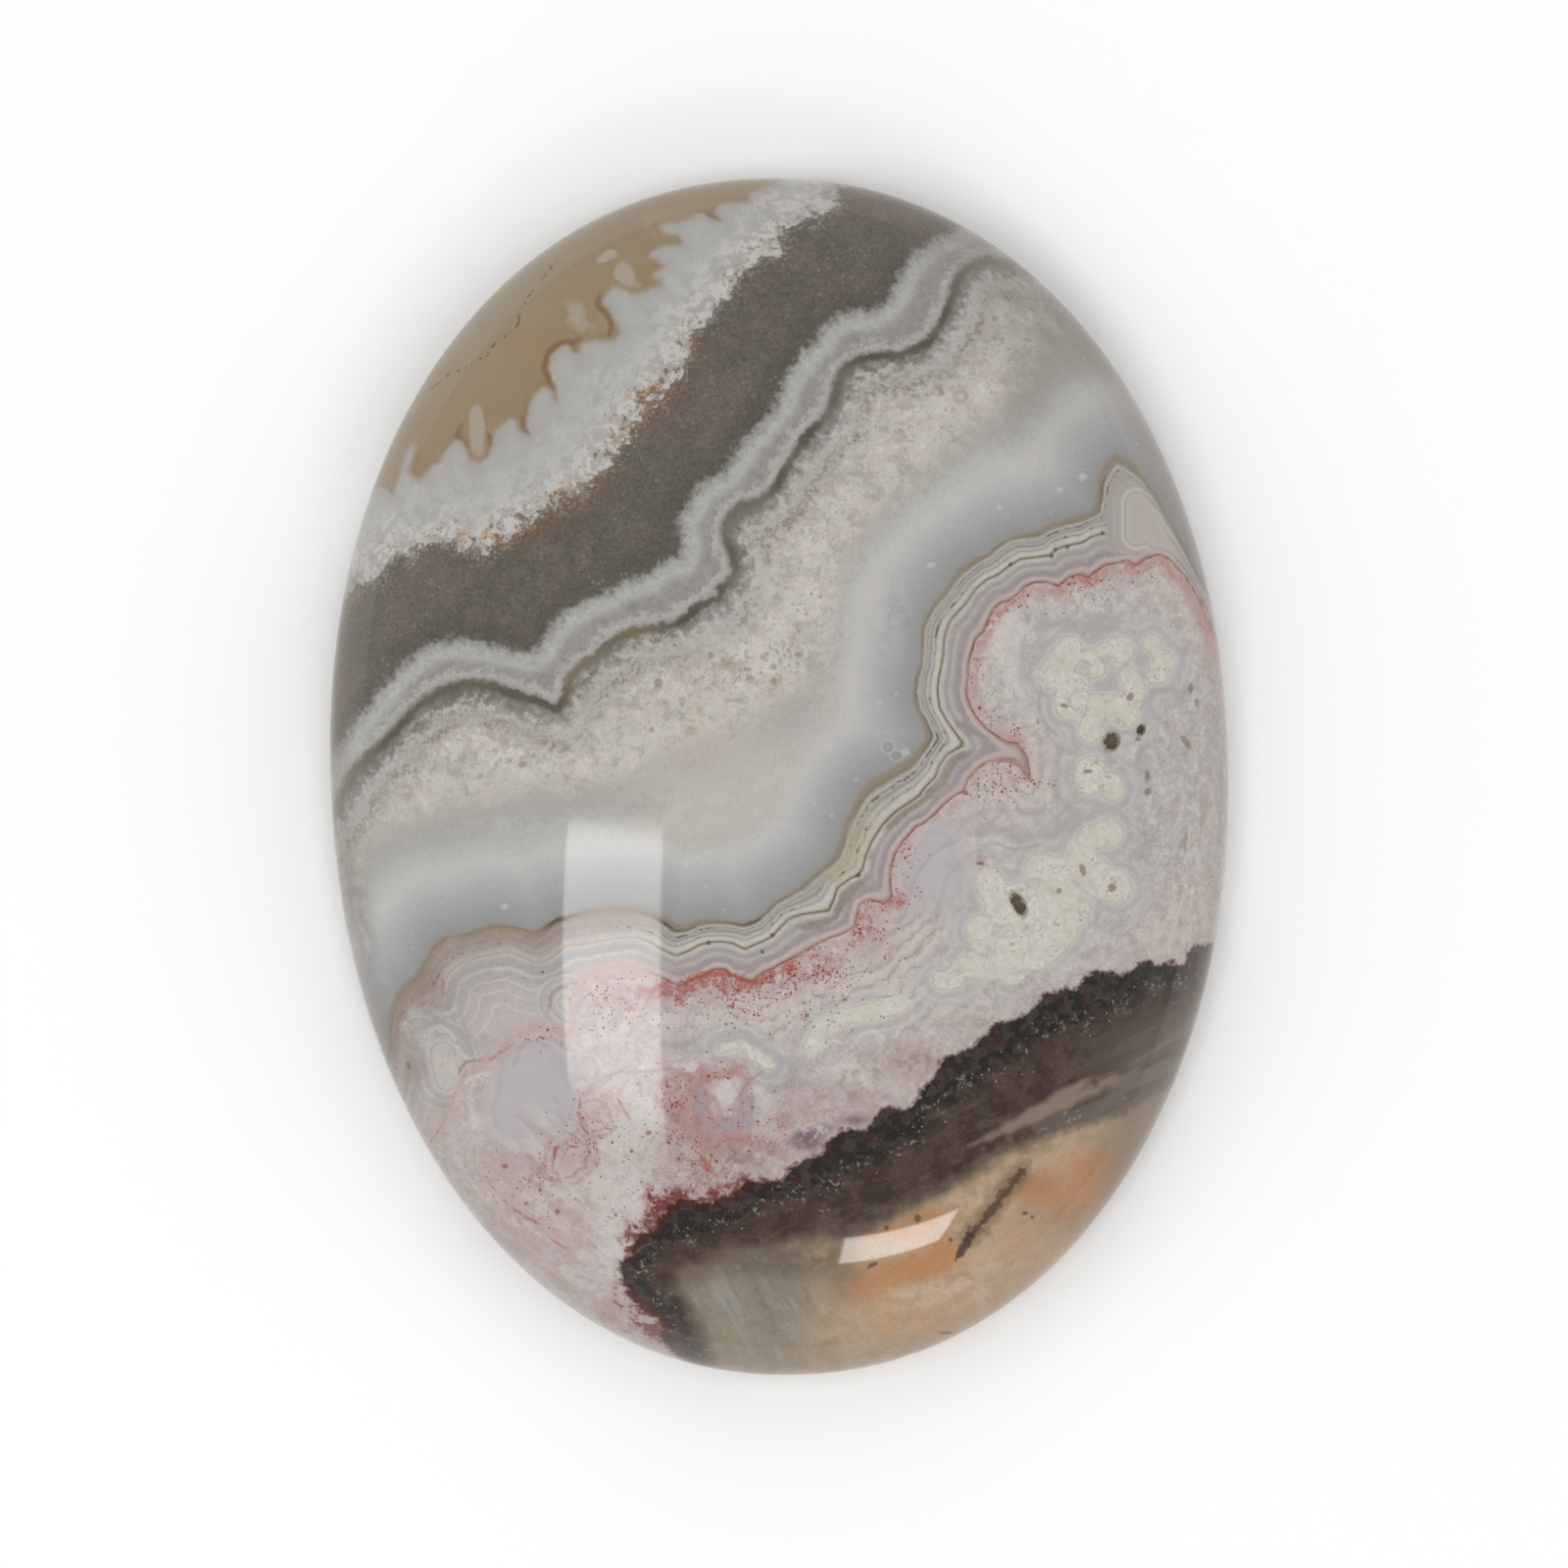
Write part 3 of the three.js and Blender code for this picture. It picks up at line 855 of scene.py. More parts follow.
pale_stain = stain([
    (700, 822, 60, 20, 1.0), (640, 762, 40, 20, 0.8), (480, 800, 50, 16, 0.7), (795, 785, 36, 24, 0.7),
    (785, 598, 18, 30, 1.0), (862, 440, 20, 24, 0.8), (900, 620, 24, 40, 0.8), (1040, 470, 44, 20, 0.7),
    (870, 700, 20, 30, 0.5), (730, 650, 40, 16, 0.6), (590, 745, 50, 16, 0.6), (530, 840, 60, 10, 0.5),
])
pale_clouds = ease(shaken(cloud, wool=0.7, grain=0.3), 0.36, 0.58)
upper.coat((195, 191, 184), pale_stain * pale_clouds * ease(fuzz, 0.4, 1.0) * 0.75)
dusk = stain([
    (364, 910, 12, 40, 1.0), (376, 960, 10, 30, 0.8), (1045, 332, 34, 44, 1.0), (965, 262, 26, 18, 0.8),
    (1000, 290, 24, 20, 0.5),
])
upper.coat((140, 136, 130), dusk * ease(shaken(cloud, wool=0.4), 0.3, 0.56) * 0.6)

# The lace: fine lines of cream, tan and mauve agate, all parallel, in two bundles. A brown line closes
# the first and a dark red line closes the second.
lace_middle = front([
    (398, 1130), (406, 1105), (410, 1085), (410, 1060), (412, 1045), (417, 1032), (430, 1028), (440, 1020),
    (452, 1020), (454, 1006), (458, 993), (473, 983), (491, 977), (506, 974), (520, 972), (535, 978),
    (547, 984), (557, 982), (568, 974), (578, 965), (597, 963), (619, 960), (640, 957), (651, 957),
    (663, 962), (673, 968), (690, 976), (702, 971), (713, 965), (723, 962), (737, 961), (748, 963),
    (760, 969), (771, 964), (781, 960), (789, 955), (795, 948), (806, 937), (820, 933), (837, 931),
    (846, 930), (851, 919), (855, 906), (866, 898), (876, 893), (881, 886), (884, 873), (890, 859),
    (901, 842), (913, 830), (926, 821), (938, 813), (944, 804), (955, 793), (959, 781), (967, 770),
    (985, 760), (975, 747), (966, 735), (959, 722), (957, 703), (959, 688), (963, 669), (964, 651),
    (969, 635), (978, 624), (987, 615), (996, 601), (1007, 592), (1018, 587), (1030, 578), (1041, 571),
    (1057, 569), (1073, 567), (1077, 561), (1089, 557), (1105, 554), (1114, 548), (1125, 545), (1134, 547),
    (1146, 545), (1146, 533), (1144, 522), (1148, 509), (1160, 500), (1172, 507), (1185, 522), (1195, 540),
    (1207, 560), (1220, 585), (1232, 610), (1250, 650),
])
lace_end, end_run = front([
    (430, 1180), (455, 1140), (466, 1110), (473, 1095), (490, 1085), (507, 1078), (518, 1062), (532, 1052),
    (548, 1046), (566, 1048), (580, 1056), (586, 1042), (580, 1020), (588, 1002), (600, 992), (620, 988),
    (640, 985), (660, 990), (679, 999), (686, 1003), (694, 1006), (706, 999), (719, 995), (729, 989),
    (740, 989), (748, 997), (756, 998), (768, 1001), (773, 997), (779, 992), (789, 988), (797, 983),
    (806, 979), (816, 974), (833, 964), (845, 958), (857, 954), (872, 946), (874, 935), (878, 923),
    (888, 918), (903, 922), (910, 915), (909, 902), (909, 886), (913, 871), (921, 859), (934, 844),
    (944, 839), (955, 829), (964, 820), (973, 813), (984, 807), (989, 793), (998, 784), (1009, 777),
    (1027, 777), (1040, 782), (1051, 797), (1050, 784), (1048, 774), (1043, 765), (1038, 758), (1027, 757),
    (1016, 750), (1005, 742), (996, 731), (989, 719), (986, 706), (988, 690), (988, 676), (992, 663),
    (996, 651), (1003, 645), (1009, 631), (1014, 621), (1021, 615), (1030, 613), (1039, 606), (1046, 598),
    (1057, 594), (1068, 594), (1080, 598), (1091, 589), (1102, 586), (1111, 589), (1118, 583), (1127, 577),
    (1141, 574), (1150, 572), (1159, 577), (1168, 570), (1182, 566), (1193, 570), (1202, 579), (1211, 590),
    (1220, 604), (1225, 615), (1231, 631), (1236, 640), (1250, 670), (1275, 710),
], with_run=True)
yellow_stain = stain([(862, 870, 22, 26, 0.9), (885, 835, 20, 26, 0.6), (850, 892, 16, 12, 0.6)])
dark_first = stain([
    (568, 938, 20, 12, 1.0), (685, 942, 22, 12, 1.0), (768, 939, 22, 12, 0.9), (1130, 500, 12, 24, 0.5),
    (947, 752, 10, 14, 0.6), (936, 705, 8, 26, 0.3), (400, 1040, 8, 40, 0.4),
])
second_brown = veins(4, [
    [(820, 945), (835, 943), (850, 935), (857, 925), (862, 915), (872, 906), (885, 900), (890, 880),
     (893, 865), (905, 845), (925, 825), (950, 808), (962, 797), (970, 780), (985, 768), (998, 762),
     (990, 750), (980, 740)],
])
lace_dots = marks([
    (723, 962, 3, 3), (778, 971, 3, 3), (788, 954, 3, 3), (876, 893, 4, 3), (1073, 567, 3, 3),
    (1077, 561, 3, 3), (1089, 558, 3, 3), (1125, 544, 3, 3), (1031, 576, 3, 3), (554, 992, 2, 2),
    (1172, 497, 3, 3), (1161, 556, 3, 3), (417, 1087, 3, 6, 10),
])
waver = shaken(0, cloud=0.18, billow=0.14)
outer = lace_start / (lace_start - lace_middle).at_least(0.02)
inner = lace_middle / (lace_middle - lace_end).at_least(0.02)
outer = outer + waver * ease(abs(outer - 0.5), 0.5, 0.25)
inner = inner + waver * ease(abs(inner - 0.5), 0.5, 0.25)
LEFT_END_FROM = -3.4  # mm along x, left of which the lace's left end begins to look different
LEFT_END_FADE = 1.8  # mm
left_end = keep(np.clip((LEFT_END_FROM - seen_at[:, 0]) / LEFT_END_FADE, 0, 1))
outer_lace = ramp(outer, [
    (-0.1, 146, 137, 124), (0.02, 134, 122, 103), (0.08, 140, 129, 112), (0.13, 159, 152, 141),
    (0.19, 173, 169, 162), (0.235, 168, 164, 158), (0.28, 151, 147, 141), (0.33, 167, 163, 157),
    (0.37, 165, 161, 156), (0.43, 144, 140, 135), (0.48, 158, 154, 148), (0.54, 178, 175, 168),
    (0.59, 176, 173, 166), (0.64, 155, 151, 146), (0.69, 174, 170, 164), (0.75, 190, 187, 180),
    (0.85, 189, 184, 176), (0.91, 176, 168, 157), (0.955, 130, 116, 98), (0.985, 126, 112, 92),
])
outer_left = ramp(outer, [
    (0.0, 138, 122, 105), (0.1, 148, 133, 118), (0.22, 152, 138, 126), (0.3, 158, 145, 135),
    (0.42, 153, 140, 133), (0.5, 154, 142, 136), (0.6, 163, 153, 149), (0.68, 158, 148, 143),
    (0.8, 170, 162, 156), (0.9, 180, 172, 165), (0.96, 171, 156, 144), (1.0, 174, 165, 157),
])
inner_lace = ramp(inner, [
    (0.0, 134, 120, 101), (0.03, 168, 160, 150), (0.08, 185, 181, 174), (0.14, 179, 174, 169),
    (0.22, 165, 159, 154), (0.3, 157, 151, 146), (0.38, 171, 165, 161), (0.44, 177, 167, 165),
    (0.52, 164, 156, 155), (0.6, 155, 147, 147), (0.68, 151, 143, 144), (0.74, 161, 152, 151),
    (0.8, 179, 169, 165), (0.86, 183, 170, 165), (0.92, 174, 154, 148), (0.97, 158, 130, 121),
    (1.0, 150, 118, 108),
])
inner_left = ramp(shaken(lace_middle, billow=0.22), [
    (0.0, 172, 158, 146), (0.05, 187, 181, 175), (0.12, 171, 169, 166), (0.3, 162, 161, 160),
    (0.4, 168, 165, 163), (0.45, 190, 186, 182), (0.51, 186, 181, 178), (0.57, 172, 167, 166),
    (0.8, 177, 171, 170), (0.85, 192, 185, 182), (0.92, 178, 170, 169), (1.15, 182, 173, 172),
    (1.21, 193, 184, 181), (1.28, 180, 170, 168), (1.6, 185, 175, 173), (1.66, 194, 185, 182),
    (1.75, 183, 173, 171), (3.0, 185, 175, 173),
])
inner_left.coat((189, 166, 158), ease(shaken(lace_end, cloud=0.3), -0.4, -0.05) * 0.6)
left_shells = shaken(lobes([
    (12, [(452, 1076), (456, 1100)]), (6, [(576, 1022), (582, 1028)]), (8, [(428, 1056)]),
], 0.06), billow=0.2)
rings = ramp(left_shells, [
    (-0.4, 188, 181, 175), (-0.05, 190, 184, 178), (0.02, 172, 166, 161), (0.08, 192, 188, 184),
    (0.18, 182, 178, 175), (0.3, 167, 165, 163), (0.36, 192, 189, 186), (0.44, 182, 178, 175),
    (0.62, 170, 167, 165), (0.68, 191, 187, 184), (0.78, 178, 173, 170),
])
inner_left.coat(rings, ease(left_shells, 0.9, 0.7) * 0.8)
outer_lace.coat(outer_left, left_end)
outer_lace.coat((176, 168, 138), yellow_stain * ease(outer, 0.1, 0.3) * ease(outer, 1.0, 0.85) * 0.75)
outer_lace.coat((88, 78, 68), band(shaken(outer, grain=0.2), 0.0, 0.08, 0.12) * dark_first)
inner_lace.coat(inner_left, left_end)
second_share = ease(shaken(second_brown, grain=0.16), 0.12, -0.06) * ease(inner, 0.02, 0.14)
inner_lace.coat((138, 124, 112), second_share * ease(billow, 0.36, 0.5) * 0.8)
lace = paint(outer_lace, inner_lace, ease(shaken(lace_middle, fine=0.03), -0.02, 0.02))
faded = ease(billow, 0.5, 0.66)
lace.coat((164, 157, 151), faded * 0.4 * ease(lace_end, -0.05, -0.25))
lace = lit(lace, shaken(1, cloud=0.14, grain=0.2, fine=0.22))
rows = band(outer, 0.62, 0.03, 0.04) * ease(billow, 0.46, 0.54)
rows = rows + band(outer, 0.3, 0.03, 0.04) * ease(drift, 0.5, 0.56)
lace.coat((96, 86, 72), rows * ease(grain, 0.5, 0.58) * 0.75)
lace.coat((92, 78, 66), ease(shaken(lace_dots, grain=0.9), 1.0, 0.4) * 0.8)

# Where the lace turns at the far rim it bulges into a cream shell with a white outline. Fainter rings
# follow the shell's shape, and the lace's own lines end against them.
apex_shell = lobes([
    (14, [(1160, 514), (1160, 545)]), (13, [(1168, 522), (1182, 550)]), (10, [(1190, 556), (1202, 580)]),
], 0.06)
shell = ramp(shaken(apex_shell, grain=0.05), [
    (-0.5, 178, 170, 162), (-0.14, 181, 174, 166), (-0.05, 172, 164, 155), (0.0, 186, 183, 178),
    (0.04, 188, 185, 180), (0.08, 176, 170, 164), (0.18, 166, 159, 153), (0.3, 170, 163, 158),
    (0.42, 163, 156, 151), (0.6, 168, 161, 156),
])
shell_share = ease(apex_shell, 0.66, 0.44) * ease(lace_start, 0.08, 0.3) * ease(lace_end, -0.12, -0.3)
lace.coat(shell, shell_share)

# Inside the lace the agate is pink, cream and lavender. It grew in lobes, so it is full of soft clouds
# and contours: grey gel-like arcs, white arcs beside them, and red grains of iron oxide.
black_edge = front([
    (760, 1420), (706, 1394), (690, 1383), (675, 1369), (675, 1349), (662, 1339), (647, 1326), (637, 1311),
    (633, 1296), (635, 1285), (645, 1279), (647, 1268), (654, 1260), (667, 1256), (674, 1243), (682, 1229),
    (699, 1224), (712, 1227), (723, 1228), (738, 1222), (755, 1214), (763, 1204), (780, 1207), (797, 1206),
    (804, 1197), (813, 1188), (827, 1181), (841, 1179), (847, 1165), (856, 1156), (868, 1152), (884, 1154),
    (890, 1143), (899, 1133), (909, 1130), (922, 1133), (931, 1129), (938, 1120), (945, 1109), (956, 1099),
    (958, 1086), (967, 1078), (981, 1077), (998, 1065), (1007, 1056), (1014, 1047), (1030, 1042),
    (1046, 1037), (1057, 1024), (1068, 1015), (1084, 1010), (1100, 1008), (1109, 997), (1118, 991),
    (1129, 994), (1141, 997), (1154, 992), (1163, 984), (1170, 981), (1179, 985), (1197, 983), (1209, 985),
    (1212, 972), (1220, 966), (1229, 965), (1240, 962), (1270, 950),
])
rose_stain = stain([
    (740, 1090, 24, 12, 1.0), (700, 1130, 26, 30, 1.0), (685, 1110, 20, 20, 0.8), (720, 1160, 18, 20, 0.8),
    (700, 1195, 26, 20, 0.5), (765, 1165, 26, 16, 0.6), (790, 1175, 26, 16, 0.5), (1045, 790, 26, 16, 0.5),
    (1025, 742, 22, 12, 0.5), (545, 1200, 16, 14, 0.5), (600, 1150, 26, 22, 0.6), (620, 1120, 26, 18, 0.5),
    (550, 1245, 30, 12, 0.4), (740, 1010, 46, 16, 0.5), (820, 995, 50, 18, 0.5), (870, 965, 30, 20, 0.4),
    (892, 932, 16, 18, 0.4), (670, 1225, 40, 14, 0.7), (735, 1215, 30, 10, 0.6), (800, 1030, 40, 14, 0.3),
    (620, 1025, 24, 20, 0.4), (622, 1338, 24, 24, 0.7), (600, 1184, 24, 20, 0.6), (484, 1190, 22, 30, 0.45),
    (742, 1162, 18, 16, 0.8), (802, 1143, 16, 12, 0.8), (705, 1120, 20, 20, 0.6),
])
mauve_stain = stain([
    (716, 1125, 8, 26, 0.7), (762, 1130, 10, 26, 0.9), (742, 1148, 18, 10, 0.9), (690, 1165, 16, 20, 0.6),
    (822, 1163, 20, 13, 1.2), (872, 1141, 18, 8, 1.1), (846, 1150, 12, 10, 0.6), (560, 1212, 26, 14, 0.6),
    (770, 1205, 14, 8, 0.6), (795, 1105, 30, 14, 0.7), (572, 1140, 8, 26, 0.6), (700, 1066, 44, 12, 0.5),
    (800, 1085, 24, 14, 0.6), (905, 1120, 14, 10, 0.5), (880, 1146, 10, 6, 0.6),
])
dusky_stain = stain([(822, 1163, 20, 12, 1.1), (872, 1143, 18, 7, 0.8), (848, 1152, 14, 6, 0.4)])
snow_stain = stain([
    (635, 1150, 40, 34, 1.6), (655, 1205, 20, 20, 0.8), (775, 1203, 20, 8, 0.7), (900, 1118, 30, 14, 0.6),
    (630, 1225, 34, 34, 0.8), (630, 1280, 24, 40, 0.7), (635, 1110, 14, 16, 0.7), (875, 1095, 40, 14, 0.6),
    (960, 1070, 30, 14, 0.6), (780, 1125, 16, 14, 0.6), (1010, 1040, 40, 14, 0.6), (1100, 985, 60, 12, 0.6),
    (1028, 645, 20, 22, 1.2), (1036, 690, 16, 36, 0.9), (1180, 955, 50, 16, 0.4), (575, 1215, 24, 24, 0.5),
    (1080, 620, 30, 10, 0.4), (700, 1040, 50, 14, 0.5), (850, 1090, 40, 14, 0.4),
])
blush_stain = stain([
    (1020, 625, 24, 20, 1.2), (1070, 605, 24, 14, 0.7), (1110, 594, 24, 18, 1.0), (1165, 580, 34, 18, 1.1),
    (1205, 596, 22, 20, 0.8), (1230, 632, 12, 26, 1.0), (1000, 650, 14, 40, 0.5), (995, 710, 14, 26, 0.5),
    (1030, 755, 22, 12, 0.6), (740, 1000, 46, 16, 0.5), (820, 980, 40, 14, 0.2), (640, 1002, 50, 16, 0.1),
    (890, 928, 20, 16, 0.3), (925, 870, 16, 26, 0.35), (1240, 680, 8, 30, 0.5),
])
crimson_stain = stain([
    (735, 1002, 44, 13, 1.0), (790, 1000, 30, 14, 0.6), (838, 984, 36, 16, 0.9), (880, 945, 22, 20, 0.8),
    (915, 918, 20, 18, 0.7), (690, 1010, 20, 10, 0.6), (650, 1018, 36, 18, 0.9), (925, 880, 12, 26, 0.4),
    (760, 1035, 30, 10, 0.4), (1000, 640, 10, 20, 0.4), (992, 700, 8, 26, 0.4), (1035, 795, 22, 12, 0.5),
])
lilac_stain = stain([
    (540, 1112, 42, 46, 0.9), (570, 1078, 24, 20, 0.6), (950, 885, 32, 44, 0.8), (1000, 838, 44, 14, 0.7),
    (738, 1128, 16, 22, 0.7), (805, 1110, 24, 20, 0.5), (530, 1270, 26, 24, 0.5), (660, 1062, 50, 16, 0.5),
    (1060, 850, 40, 10, 0.4), (560, 1135, 26, 24, 0.5), (1070, 770, 12, 40, 0.4),
])
cream_stain = stain([
    (1000, 975, 40, 26, 1.0), (1055, 940, 50, 28, 1.0), (1015, 862, 26, 12, 0.5), (1018, 650, 20, 30, 0.9),
    (1035, 700, 20, 24, 0.5), (1120, 735, 50, 34, 0.7), (1085, 655, 40, 16, 0.6), (1100, 895, 50, 30, 0.8),
    (870, 1030, 70, 14, 0.7), (1105, 615, 50, 10, 0.4), (900, 1000, 50, 24, 0.5), (560, 1220, 60, 20, 0.2),
    (1150, 955, 60, 14, 0.4), (770, 1045, 50, 12, 0.4), (1170, 640, 50, 14, 0.4),
])
grey_stain = stain([
    (1168, 840, 26, 60, 1.0), (1170, 775, 30, 20, 0.8), (1200, 705, 24, 16, 0.7), (1045, 662, 26, 46, 0.9),
    (1080, 835, 30, 16, 0.7), (1150, 628, 60, 12, 0.7), (445, 1050, 24, 16, 0.4), (1150, 750, 34, 24, 0.6),
    (1220, 760, 24, 70, 0.6), (1215, 860, 30, 50, 0.4), (1095, 628, 50, 10, 0.6),
])
sponge_stain = stain([
    (850, 1110, 60, 36, 1.0), (925, 1080, 50, 24, 1.0), (770, 1165, 36, 24, 0.8), (720, 1205, 50, 24, 0.7),
    (1000, 1040, 50, 18, 0.6), (590, 1250, 60, 50, 0.5), (640, 1190, 40, 30, 0.5), (1080, 985, 60, 12, 0.4),
    (1180, 950, 50, 20, 0.3),
])
cap_stain = stain([(740, 1090, 22, 8, 1.0), (718, 1096, 10, 10, 0.8), (762, 1098, 8, 8, 0.7)])
cone_stain = stain([(741, 1115, 10, 14, 1.0), (704, 1088, 12, 8, 0.8), (772, 1112, 12, 10, 0.6)])
rightward = keep(seen_at[:, 0])
heart = paint((185, 173, 170), (183, 175, 171), ease(rightward, 2.0, 7.0))
heart.coat((188, 175, 168), ease(rightward, 11.4, 13.4) * 0.8)
heart.coat((172, 171, 168), grey_stain * 0.9)
heart.coat((178, 168, 174), lilac_stain * 0.8)
heart.coat((203, 200, 188), cream_stain * ease(shaken(cloud, wool=0.5), 0.34, 0.56) * 0.95)
clouded = 1 - lilac_stain * 0.8
heart.coat((200, 194, 190), ease(shaken(wool, cloud=0.3), 0.5, 0.62) * clouded * 0.65)
heart.coat((168, 156, 153), ease(shaken(wool, cloud=0.3), 0.48, 0.36) * clouded * 0.5)
snow = ease(shaken(snow_stain, cloud=0.9, grain=0.3), 0.3, 0.7)
heart.coat((203, 196, 192), snow * 0.8)
heart.coat((176, 170, 160), ease(shaken(grain, wool=0.5), 0.52, 0.66) * snow * 0.45)
rose = ease(shaken(rose_stain, cloud=0.8, grain=0.4), 0.34, 0.8)
heart.coat((168, 132, 127), rose * 0.75)
heart.coat((158, 98, 92), rose * ease(shaken(grain, wool=0.6), 0.5, 0.64) * 0.45)
mauve = ease(shaken(mauve_stain, cloud=0.4), 0.3, 0.66)
heart.coat((160, 147, 152), mauve * 0.85)
rust_stain = stain([
    (700, 1198, 26, 20, 1.0), (745, 1190, 34, 20, 1.0), (788, 1180, 26, 16, 0.8), (862, 1122, 36, 18, 0.9),
    (940, 1084, 40, 16, 0.8), (560, 1182, 30, 20, 0.6), (515, 1180, 24, 24, 0.4), (680, 1160, 24, 20, 0.6),
    (815, 1140, 30, 16, 0.6), (900, 962, 24, 24, 0.4), (1000, 1045, 30, 10, 0.4),
])
heart.coat((164, 144, 139), rust_stain * ease(shaken(cloud, wool=0.5), 0.34, 0.5) * 0.8)
heart.coat((140, 108, 102), rust_stain * ease(shaken(grain, wool=0.8), 0.48, 0.62) * 0.7)
heart.coat((112, 94, 100), ease(shaken(dusky_stain, cloud=0.5, grain=0.5), 0.3, 0.8) * 0.8)
sponge = sponge_stain * ease(lace_end, 0.3, 0.8)
heart.coat(
    (150, 128, 117), ease(shaken(grain, wool=0.6), 0.52, 0.66) * ease(cloud, 0.42, 0.56) * sponge * 0.6
)
heart.coat((163, 150, 144), ease(cloud, 0.48, 0.6) * sponge * 0.4)
ripple = shaken(billow * 16, cloud=3)
ripple = abs(stone.add("ShaderNodeMath", {"operation": "PINGPONG"}, {0: ripple, 1: 0.5}))
heart.coat((162, 155, 154), ease(ripple, 0.14, 0.02) * ease(drift, 0.44, 0.52) * 0.4)
heart.coat((198, 192, 187), ease(ripple, 0.36, 0.48) * ease(drift, 0.44, 0.52) * 0.4)
heart.coat((172, 134, 128), ease(shaken(cap_stain, cloud=0.2), 0.35, 0.6) * 0.8)
heart.coat((200, 191, 189), ease(shaken(cone_stain, cloud=0.3), 0.3, 0.6) * 0.8)
heart = lit(heart, shaken(1, fine=0.26, grain=0.3) + (0.5 - large_grains[1]) * 0.12 * clouded)
blush = ease(shaken(lace_end, cloud=0.4, grain=0.4), 0.5, 0.26) * (blush_stain + 0.2)
heart.coat((180, 132, 123), blush * ease(shaken(grain, wool=0.5), 0.3, 0.6) * 0.9)
crimson = ease(shaken(crimson_stain, cloud=0.8, grain=0.4), 0.36, 0.8)
heart.coat((172, 142, 143), crimson * 0.7)
heart.coat(
    (164, 96, 88), crimson * ease(shaken(grain, wool=0.7), 0.46, 0.6) * ease(lace_end, 1.1, 0.3) * 0.75
)
heart.coat((198, 186, 184), crimson * ease(shaken(wool, grain=0.5), 0.46, 0.36) * 0.7)
cells = shaken(lobes([
    (29, [(542, 1096)]), (25, [(558, 1124), (534, 1136)]), (15, [(940, 896), (956, 868)]), (16, [(962, 900)]),
], 0.16), billow=0.5, wool=0.1)
gel = ramp(cells, [
    (-0.6, 184, 178, 181), (-0.1, 182, 176, 179), (0.1, 176, 169, 172), (0.22, 184, 177, 179),
    (0.4, 188, 180, 180), (0.55, 180, 171, 171), (0.7, 187, 176, 175),
])
heart.coat(gel, ease(cells, 0.8, 0.1) * ease(lace_end, 0.05, 0.3) * 0.75)
folds = stain([
    (880, 1012, 60, 24, 1.0), (935, 965, 34, 40, 1.0), (800, 1052, 50, 18, 0.9), (955, 1020, 40, 18, 0.8),
    (1010, 820, 50, 24, 0.6), (1060, 790, 30, 40, 0.7), (640, 1060, 60, 30, 0.4),
])
turns = shaken(lace_end * 2.1, billow=2.4, cloud=0.8, wool=0.3)
turns = stone.add("ShaderNodeMath", {"operation": "PINGPONG"}, {0: turns, 1: 0.5})
heart.coat((200, 190, 180), ease(turns, 0.26, 0.4) * folds * 0.8)
heart.coat((166, 147, 141), ease(turns, 0.12, 0.03) * folds * 0.8)
feathers = noise(1.8, 3, 0.6, stretch=3.5, turn=-38)
lower_left = ease(black_edge, -1.0, -2.0) * (1 - ease(rightward, -6.5, -5.0)) * ease(lace_end, 1.6, 2.6)
heart.coat((198, 189, 181), ease(feathers, 0.51, 0.6) * lower_left * 0.7)
heart.coat((178, 154, 149), ease(feathers, 0.47, 0.38) * lower_left * 0.55)
lower = paint(lace, heart, ease(shaken(lace_end, fine=0.08), -0.02, 0.04))
soft_end = stain([
    (545, 1052, 50, 26, 1.0), (490, 1090, 24, 18, 0.9), (460, 1130, 14, 30, 0.8), (600, 1000, 36, 36, 0.9),
    (645, 988, 24, 14, 0.7), (870, 948, 24, 12, 0.5), (1010, 790, 40, 26, 0.6), (1230, 640, 14, 30, 0.5),
])
red_end = shaken(lace_end, grain=0.12) + (flow(end_run, 1.2) - 0.5) * 0.06
red_end = band(red_end, 0.01, 0.008, 0.045) * (1 - soft_end * 0.95) * ease(wool, 0.34, 0.56)
lower.coat((124, 76, 62), red_end * 0.75)
lower.coat((190, 166, 158), band(lace_end, 0.05, 0.1, 0.2) * soft_end * 0.5)

# Cream nodules with tan threads stand in the heart. A thin pale skin, a band of grey gel and a white
# line wrap each cluster.
nodules = lobes([
    (14, [(1092, 664), (1080, 678), (1072, 690)]), (8, [(1112, 668)]), (7, [(1125, 664)]),
    (12, [(1140, 660), (1146, 662)]), (7, [(1140, 675)]), (17, [(1095, 702), (1093, 716)]),
    (15, [(1110, 725), (1135, 722), (1148, 728)]), (11, [(1153, 692), (1156, 700), (1158, 712)]),
    (12, [(1112, 745)]), (9, [(1176, 657)]), (12, [(1188, 675), (1182, 688)]),
    (15, [(1113, 785), (1112, 797)]), (13, [(1128, 800), (1134, 803)]), (16, [(1130, 850)]),
    (9, [(1112, 850)]), (13, [(1103, 868)]), (17, [(1110, 885), (1125, 900), (1140, 905)]),
    (13, [(1060, 885), (1085, 888)]), (15, [(1010, 900), (1022, 930)]), (20, [(1040, 920), (1060, 950)]),
    (13, [(1000, 948)]), (15, [(1030, 965), (1050, 975)]), (12, [(990, 985), (1005, 990)]),
    (9, [(960, 1000), (975, 1000)]),
    (9, [(828, 1070), (838, 1052), (855, 1040), (880, 1035), (900, 1030), (920, 1022)]),
    (6, [(735, 1070), (755, 1066), (770, 1075), (785, 1085)]), (8.6, [(1120.5, 683)]),
    (20, [(1076, 916), (1094, 926)]), (15, [(1084, 950), (1060, 975)]), (12, [(1020, 985), (1034, 992)]),
], 0.05)
nodule_depth = shaken(nodules, cloud=0.34, wool=0.34, grain=0.08)
